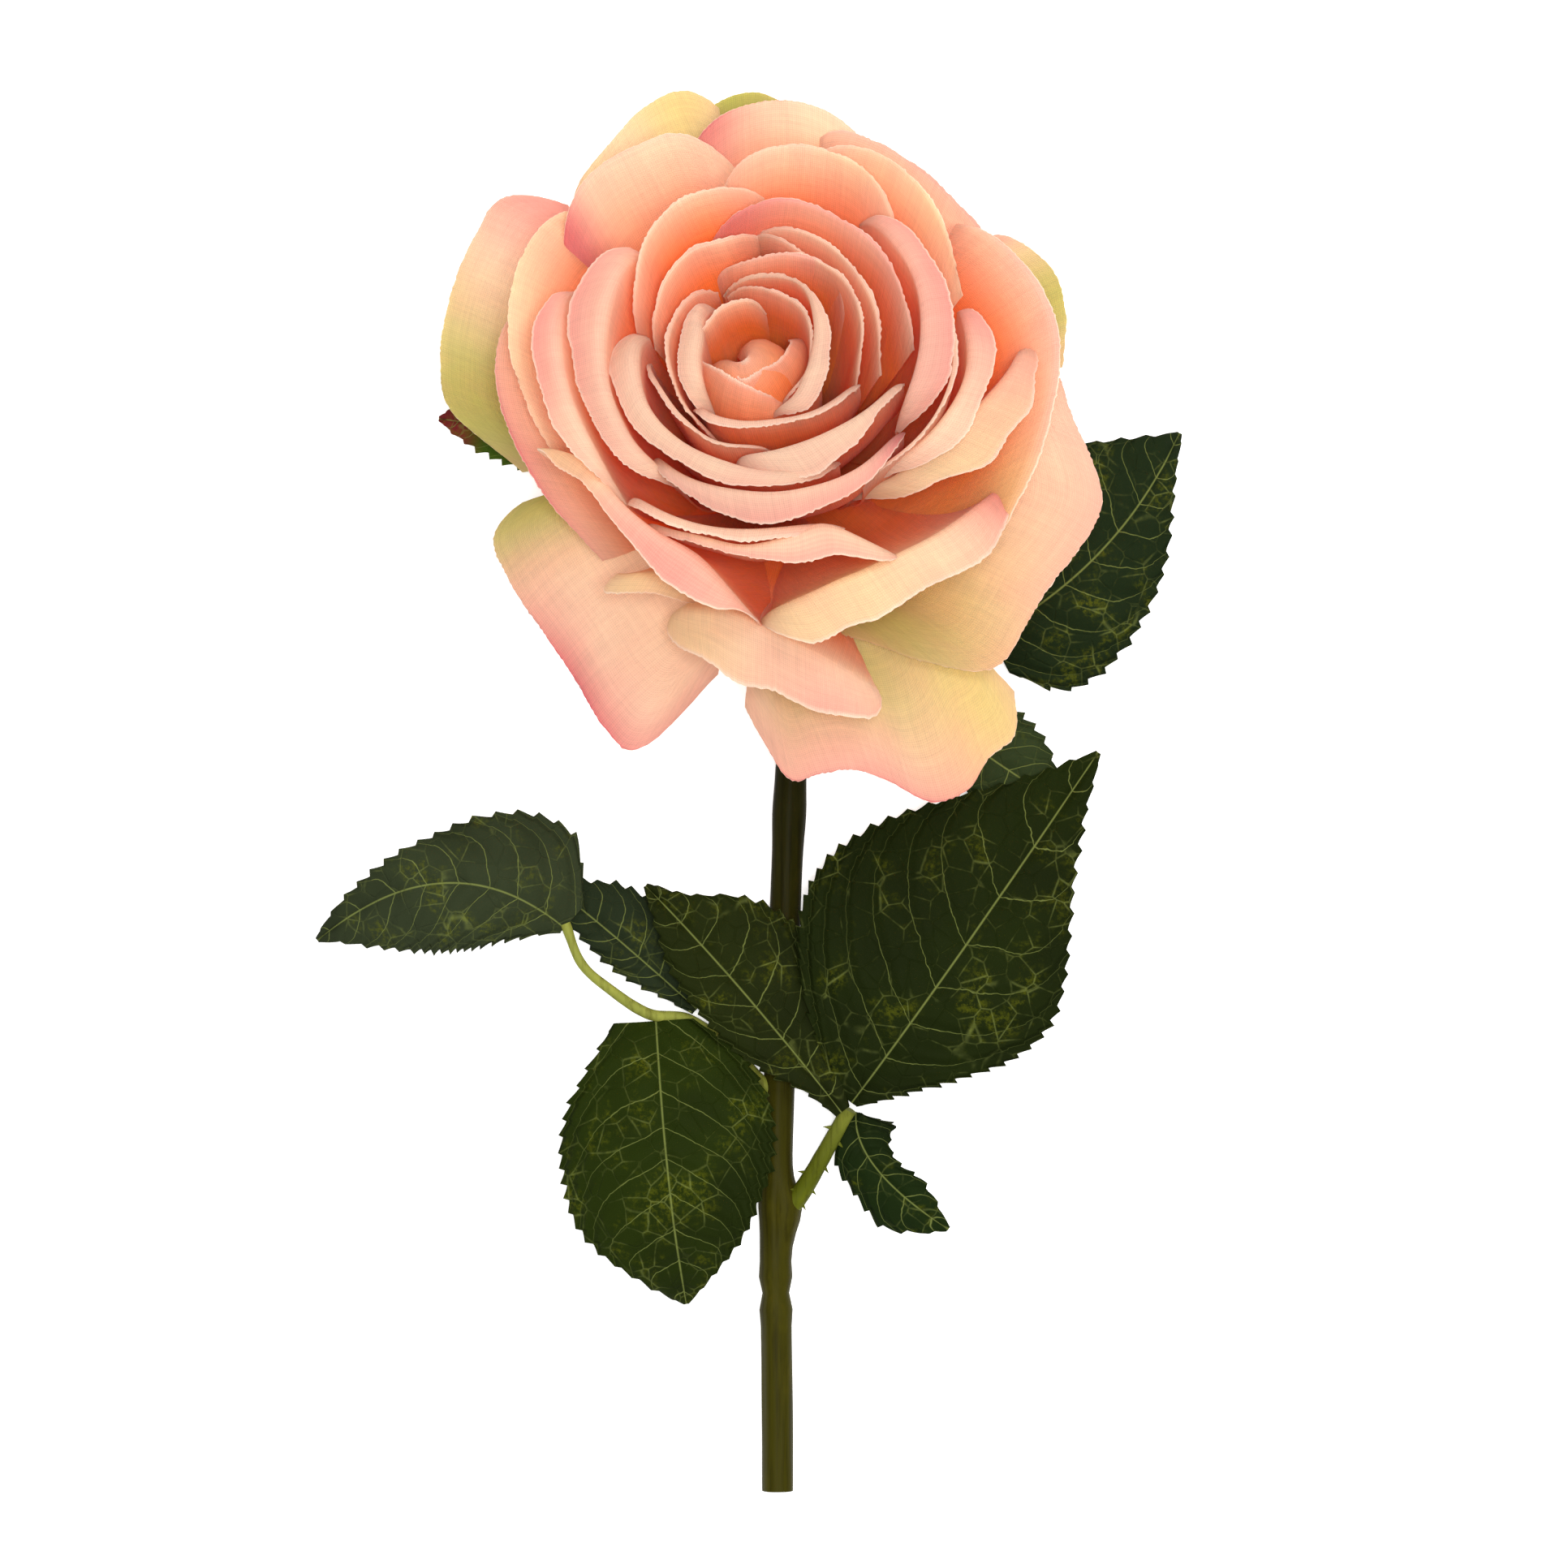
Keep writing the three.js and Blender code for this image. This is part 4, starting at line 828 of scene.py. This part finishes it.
def make_leaf(leaf, sizes):
    """Cuts one toothed leaf, bows it along its midrib and sinks its veins."""
    base, middle, tip = (Vector(place) for place in (leaf.base, leaf.middle, leaf.tip))
    control = 2 * middle - (base + tip) / 2
    length = (middle - base).length + (tip - middle).length
    along = int(clamp(length / LEAF_STEP, 90, 200))
    across = 28
    widest = max(*leaf.left, *leaf.right)
    spacing = clamp(length / 8, 5, 10)
    teeth = max(8, round(length / 3.1))
    draw = random.Random(leaf.name)
    tooth_size = [draw.uniform(0.6, 1.15) for _ in range(2 * teeth + 4)]
    off_midrib, vein_number = [], []

    def point_at(i, j):
        t = i / along
        side = 2 * j / across - 1
        share = abs(side)
        half = max(spread(leaf.left if side < 0 else leaf.right, t), 0.35)
        centre = base * (1 - t) ** 2 + control * 2 * t * (1 - t) + tip * t * t
        ahead = (control - base) * (1 - t) + (tip - control) * t
        out = Vector((-ahead.y, ahead.x, 0)).normalized() * (-1 if side > 0 else 1)
        count = t * teeth + (0.5 if side > 0 else 0.0)
        tooth = tooth_size[int(count) + (teeth + 2 if side > 0 else 0)]
        nick = sizes.tooth_depth / MM * tooth * ((count % 1.0) ** 1.4 - 0.35)
        nick *= smooth(t / 0.08) * smooth((1 - t) / 0.03) * min(1.0, half / 5)
        width = half * share + nick * share**6
        steep = 0.75 if side < 0 else 0.42
        number = (t * length - steep * width - 0.8 * width * share**4) / spacing
        droop = leaf.droop[0 if side < 0 else 1] * (width / widest) ** 2
        groove = 0.45 * math.exp(-((width / 0.9) ** 2))
        pillow = 0.34 * abs(math.sin(math.pi * number)) * smooth(share * 3) * (1 - 0.5 * share**4)
        crinkle = 0.7 * noise.noise(Vector((centre.x + out.x * width, centre.y + out.y * width, 5)) / 9)
        crinkle += 1.1 * ripple(t * length / 11, side * 1.3, len(leaf.name)) * share**2
        point = centre + out * width
        point.z = max(centre.z - droop + pillow - groove + crinkle, 0.35)
        off_midrib.append(math.copysign(width, side))
        vein_number.append(number)
        return point

    sheet, where = shaped_sheet(leaf.name + "_cloth", across, along, point_at)
    # tone: the leaf's green, with painted sheen in left_far_leaf's greyer tone
    tone = linear(LEAF_TONES[leaf.name])
    red = linear(LEAF_TIP_RED)
    tips = leaf.name == "back_left_leaf"
    paint(sheet, "dye", [tone.lerp(red, smooth((i / along - 0.68) / 0.2) if tips else 0) for i, j in where])
    keep_number(sheet, "off_midrib", off_midrib)
    keep_number(sheet, "vein_number", vein_number)
    keep_number(sheet, "vein_spacing", [spacing] * len(where))
    thicken(sheet, sizes.leaf_thickness)
    return sheet


# ------------------------------------------------------------------ stem, stalks, calyx

STEM_ROUTE = (
    (5.3, -132, 2.8), (5.2, -112, 2.8), (4.9, -85, 2.8), (5.3, -65, 2.8), (6, -43, 2.8),
    (6.8, -20, 2.8), (7.6, 0, 2.8), (8.6, 22, 2.9), (8.8, 34, 3.6), (8.9, 44.5, 6.2), (8.6, 50, 10),
    (8.05, 52.7, 13.5),
)
STEM_RADIUS = 2.8
# Where the stem swells or narrows: y, how far along it, and by how much.
STEM_SWELLS = ((-94.5, 1.2, -0.45), (-97.5, 1.6, 0.22), (-91.8, 1.4, 0.2), (-77, 4, 0.45), (-4, 5, 0.3))
SHEATH = (-79.5, 5, 1.7)   # the same for the sheath that holds the foot of the right stalk
# Stalks: name, radius at the foot and at the leaf, route.
STALKS = (
    ("right_stalk", (2.1, 1.35), ((6.6, -79.4, 3.2), (10, -75.2, 4.4), (13.6, -69, 6), (18.6, -59.8, 8))),
    ("left_stalk", (1.4, 0.8),
     ((4.4, -57, 3), (1.2, -54, 3.4), (-4, -48.4, 4), (-11.5, -43.2, 4.8), (-19, -42, 6.4),
      (-26.3, -37.3, 8), (-31.6, -32.4, 8.6), (-34.6, -25, 8.6))),
    ("upper_right_stalk", (1.3, 0.9),
     ((9, 9.6, 3), (12.8, 12, 3), (22, 17.6, 3), (34, 23.2, 3.6), (44.4, 28.6, 4.4))),
)
THORNS = ((0.22, 10), (0.38, -15), (0.5, 170), (0.62, 25), (0.8, -5), (0.86, 165), (0.3, 150))
BACK_LEAF_STALK = ((8, 33, 3.2), (4.4, 35, 3.2), (-8, 45, 3.8), (-24, 58, 4.8))


def along_route(route, t):
    """A place on the smooth line through a route's points, with the ways ahead, aside and up there."""
    axes = [[place[k] for place in route] for k in range(3)]
    here = Vector([spread(axis, t) for axis in axes])
    before = Vector([spread(axis, t - 0.01) for axis in axes])
    after = Vector([spread(axis, t + 0.01) for axis in axes])
    ahead = (after - before).normalized()
    side = ahead.cross(Vector((0, 0, 1))).normalized()
    return here, ahead, side, side.cross(ahead)


def bend_pipe(pipe, route, radius_at):
    """Bends a straight pipe along a route; radius_at gives the radius at a share and a turn."""
    for vertex in pipe.data.vertices:
        t = clamp(vertex.co.z + 0.5)
        turn = math.atan2(vertex.co.y, vertex.co.x)
        here, _, side, top = along_route(route, t)
        radius = radius_at(t, turn, here)
        here = here + (side * math.cos(turn) + top * math.sin(turn)) * radius
        vertex.co = here * MM
    smooth_faces(pipe, 45)


def stem_radius(t, turn, here):
    def bulge(y, width, swell):
        return swell * math.exp(-(((here.y - y) / width) ** 2))

    radius = STEM_RADIUS
    for row in STEM_SWELLS:
        radius += bulge(*row)
    grooves = 0.05 * math.sin(5 * turn + here.y * 0.02) + 0.08 * ripple(turn * 2, here.y / 14, 2)
    seam = 0.12 * math.exp(-((math.remainder(turn, math.pi) / 0.07) ** 2))
    return radius + grooves + seam + bulge(*SHEATH) * max(math.cos(turn), 0)


def make_stem():
    pipe = straight_pipe("stem_sleeve", 40, 420)
    bend_pipe(pipe, STEM_ROUTE, stem_radius)
    for vertex in pipe.data.vertices:
        vertex.co.z = max(vertex.co.z, 0.00002)
    return pipe


def make_stalk(name, radii, route):
    thick, thin = radii

    def radius_at(t, turn, here):
        flare = 0.5 * math.exp(-((t / 0.06) ** 2)) + 0.35 * math.exp(-(((1 - t) / 0.05) ** 2))
        return thick + (thin - thick) * t + flare * 0.5 + 0.06 * noise.noise(here / 3)

    pipe = straight_pipe(name + "_rod", 20, 90)
    bend_pipe(pipe, route, radius_at)
    pieces = [pipe]
    if name == "right_stalk":
        pieces += [make_thorn(route, t, turn) for t, turn in THORNS]
    return join_pieces(pieces, name + "_rod")


def make_thorn(route, t, turn):
    """One small hooked thorn on the side of a stalk."""
    deselect_all()
    bpy.ops.mesh.primitive_cone_add(vertices=10, radius1=0.45, radius2=0.03, depth=1.5)
    thorn = bpy.context.object
    here, ahead, side, top = along_route(route, t)
    out = side * math.cos(math.radians(turn)) + top * math.sin(math.radians(turn))
    along = out.cross(ahead)
    for vertex in thorn.data.vertices:
        up = vertex.co.z + 0.75
        place = here + out * (1.3 + up) + ahead * (vertex.co.x - 0.25 * up * up) + along * vertex.co.y
        vertex.co = place * MM
    bpy.ops.object.mode_set(mode="EDIT")
    bpy.ops.mesh.select_all(action="SELECT")
    bpy.ops.mesh.normals_make_consistent(inside=False)
    bpy.ops.object.mode_set(mode="OBJECT")
    return thorn


def make_calyx(sizes):
    """The green cup under the flower and the five sepals folded back from it."""
    pipe = straight_pipe("calyx_cup", 48, 40)
    profile = ((0.0, 3.4), (0.2, 5.0), (0.38, 6.35), (0.5, 6.4), (0.62, 5.6), (1.0, 2.0))
    for vertex in pipe.data.vertices:
        t = clamp(vertex.co.z + 0.5)
        turn = math.atan2(vertex.co.y, vertex.co.x)
        for (low_t, low_r), (high_t, high_r) in zip(profile, profile[1:]):
            if t <= high_t + 1e-6:
                radius = low_r + (high_r - low_r) * smooth((t - low_t) / (high_t - low_t))
                break
        radius += 0.12 * math.cos(5 * turn)
        height = -CALYX_DROP + (CALYX_DROP + RECEPTACLE_TIP) * t
        vertex.co = flower_point(math.degrees(turn), radius, height) * MM
    smooth_faces(pipe, 45)
    return join_pieces([pipe] + [make_sepal(20 + 72 * k, k, sizes) for k in range(5)], "calyx_and_sepals")


def make_sepal(degrees, number, sizes):
    """One narrow toothed sepal; its number sets how it ripples."""
    across, along = 16, 60
    out_way = flower_point(degrees, 1, 0) - SEAT
    side_way = AXIS.cross(out_way)

    def point_at(i, j):
        t = i / along
        s = 2 * j / across - 1
        width = 9.0 * (1 - t) ** 0.7 * (0.75 + 0.25 * math.sin(math.pi * t)) + 0.5
        width += 0.5 * math.sin(34 * t) * (0.2 < t < 0.9)
        radius = 3.9 + 28 * t
        waves = 0.8 * ripple(4 * t, s, number)
        height = -3.2 - 2.0 * t - 1.2 * t * t + 0.9 * s * s * (1 - t) + waves
        return SEAT + out_way * radius + side_way * s * width / 2 + AXIS * height

    sheet, _ = shaped_sheet("sepal", across, along, point_at)
    thicken(sheet, 2 * sizes.leaf_thickness)
    return sheet


# ------------------------------------------------------------------ stage


CAMERA_PLACE = (0.00645, 0.0012, 1.43)
VIEW_WIDTH, VIEW_DISTANCE = 0.2898, 1.4   # how much the camera sees across, that far away
LAMP_AIM = Vector((0, 0.03, 0.03))
# Soft round lamps: name, place, width, power, colour.
LAMPS = (
    ("front", (0.08, 0.0, 1.6), 0.4, 19.0, (1.0, 0.99, 0.97)),
    ("key", (0.4, 0.6, 1.1), 0.6, 6.0, (1.0, 0.985, 0.96)),
)


def make_stage(sizes):
    """A white table, soft light all round, two soft lamps above the flower, and the camera."""
    scene = bpy.context.scene
    deselect_all()
    bpy.ops.mesh.primitive_plane_add(size=6)
    table = bpy.context.object
    table.name = "table"
    material, tree, shader, output = new_material("white_table")
    place = tree.nodes.new("ShaderNodeTexCoord").outputs["Object"]
    grain = noise_node(tree, place, 60.0, 2.0, 0.5)
    feed_all(tree, shader, Roughness=range_node(tree, grain, 0.0, 1.0, 0.85, 0.95),
             Base_Color=(0.97, 0.97, 0.97), Emission_Color=(1, 1, 1), Emission_Strength=0.45)
    table.data.materials.append(material)

    world = bpy.data.worlds.new("studio")
    scene.world = world
    world.use_nodes = True
    sky = world.node_tree
    feed_all(sky, sky.nodes["Background"], Color=(1, 1, 1), Strength=0.62)
    for name, place, size, power, colour in LAMPS:
        deselect_all()
        bpy.ops.object.light_add(type="AREA", location=place)
        lamp = bpy.context.object
        lamp.name = name
        lamp.data.shape = "DISK"
        lamp.data.size = size
        lamp.data.energy = power
        lamp.data.color = colour
        lamp.rotation_euler = (LAMP_AIM - Vector(place)).to_track_quat("-Z", "Y").to_euler()

    deselect_all()
    bpy.ops.object.camera_add(location=CAMERA_PLACE, rotation=(0, 0, 0))
    camera = bpy.context.object
    camera.data.type = "PERSP"
    camera.data.sensor_width = 36
    camera.data.lens = camera.data.sensor_width * VIEW_DISTANCE / VIEW_WIDTH
    camera.data.clip_end = 20
    scene.camera = camera
    scene.view_settings.view_transform = "Standard"
    scene.view_settings.look = "None"


# ------------------------------------------------------------------ add-on


class RoseSizes(bpy.types.PropertyGroup):
    petal_thickness: FloatProperty(
        name="Petal thickness", description="Thickness of the petal cloth", default=0.00036, unit="LENGTH")
    leaf_thickness: FloatProperty(
        name="Leaf thickness", description="Thickness of the leaf cloth", default=0.0004, unit="LENGTH")
    fray: FloatProperty(
        name="Fray", description="How far thread ends stand out of a cut edge", default=0.00013,
        unit="LENGTH")
    tooth_depth: FloatProperty(
        name="Tooth depth", description="Depth of a leaf's teeth", default=0.0013, unit="LENGTH")


class RoseFinish(bpy.types.PropertyGroup):
    thread_pitch: FloatProperty(
        name="Thread pitch", description="Distance between threads of the weave", default=0.0004,
        unit="LENGTH")
    vein_colour: FloatVectorProperty(
        name="Vein colour", description="Printed veins of the leaves", subtype="COLOR",
        default=tuple(linear((0x8C, 0x96, 0x50))))


def build_stem(sizes):
    hand_over(make_stem(), "stem", "stem_plastic")


def build_stalks(sizes):
    for name, radii, route in STALKS:
        hand_over(make_stalk(name, radii, route), name, "stalk_plastic")


def build_calyx(sizes):
    hand_over(make_calyx(sizes), "calyx", "calyx_plastic")


def build_leaves(sizes):
    for leaf in LEAVES:
        hand_over(make_leaf(leaf, sizes), leaf.name, "leaf_cloth")
        if leaf.name == "back_left_leaf":
            hand_over(make_stalk("back_left", (1.3, 0.9), BACK_LEAF_STALK), leaf.name, "stalk_plastic")


# The steps of the build, in order: name, what it builds, and the function that does.
STEPS = (
    ("stage", "the table, the lights and the camera", make_stage),
    ("stem", "the moulded sleeve of the stem", build_stem),
    ("stalks", "the three leaf stalks", build_stalks),
    ("calyx", "the calyx and its sepals", build_calyx),
    ("leaves", "the nine toothed leaves", build_leaves),
    ("heart_petals", "the three petals of the bud", partial(make_petals, "heart")),
    ("core_petals", "the seven petals wrapped round the bud", partial(make_petals, "core")),
    ("inner_petals", "the six petals of the inner ring", partial(make_petals, "inner")),
    ("ring_petals", "the seven petals of the broad ring", partial(make_petals, "ring")),
    ("middle_petals", "the nine petals of the middle ring", partial(make_petals, "middle")),
    ("outer_petals", "the seven petals of the outer ring", partial(make_petals, "outer")),
    ("guard_petals", "the seven petals that hang outside the flower", partial(make_petals, "guard")),
)


def step_operator(name, words, build):
    """Makes the operator class of one step."""

    def execute(self, context):
        build(context.scene.rose_sizes)
        return {"FINISHED"}

    return type("ROSE_OT_" + name, (bpy.types.Operator,), {
        "__doc__": "Build " + words,
        "bl_idname": "rose." + name,
        "bl_label": name.replace("_", " ").capitalize(),
        "execute": execute,
    })


OPERATORS = tuple(step_operator(*row) for row in STEPS)


class ROSE_PT_panel(bpy.types.Panel):
    """Lists the sizes, the finish and the steps of the rose"""

    bl_label = "Cloth rose"
    bl_space_type = "VIEW_3D"
    bl_region_type = "UI"
    bl_category = "Rose"

    def draw(self, context):
        for settings in (context.scene.rose_sizes, context.scene.rose_finish):
            for name in settings.__annotations__:
                self.layout.prop(settings, name)
        for operator in OPERATORS:
            self.layout.operator(operator.bl_idname)


CLASSES = (RoseSizes, RoseFinish) + OPERATORS + (ROSE_PT_panel,)


def register():
    for entry in CLASSES:
        bpy.utils.register_class(entry)
    bpy.types.Scene.rose_sizes = PointerProperty(type=RoseSizes)
    bpy.types.Scene.rose_finish = PointerProperty(type=RoseFinish)


def unregister():
    del bpy.types.Scene.rose_finish
    del bpy.types.Scene.rose_sizes
    for entry in reversed(CLASSES):
        bpy.utils.unregister_class(entry)


def main():
    register()
    for name, _, _ in STEPS:
        getattr(bpy.ops.rose, name)()


if __name__ == "__main__":
    main()
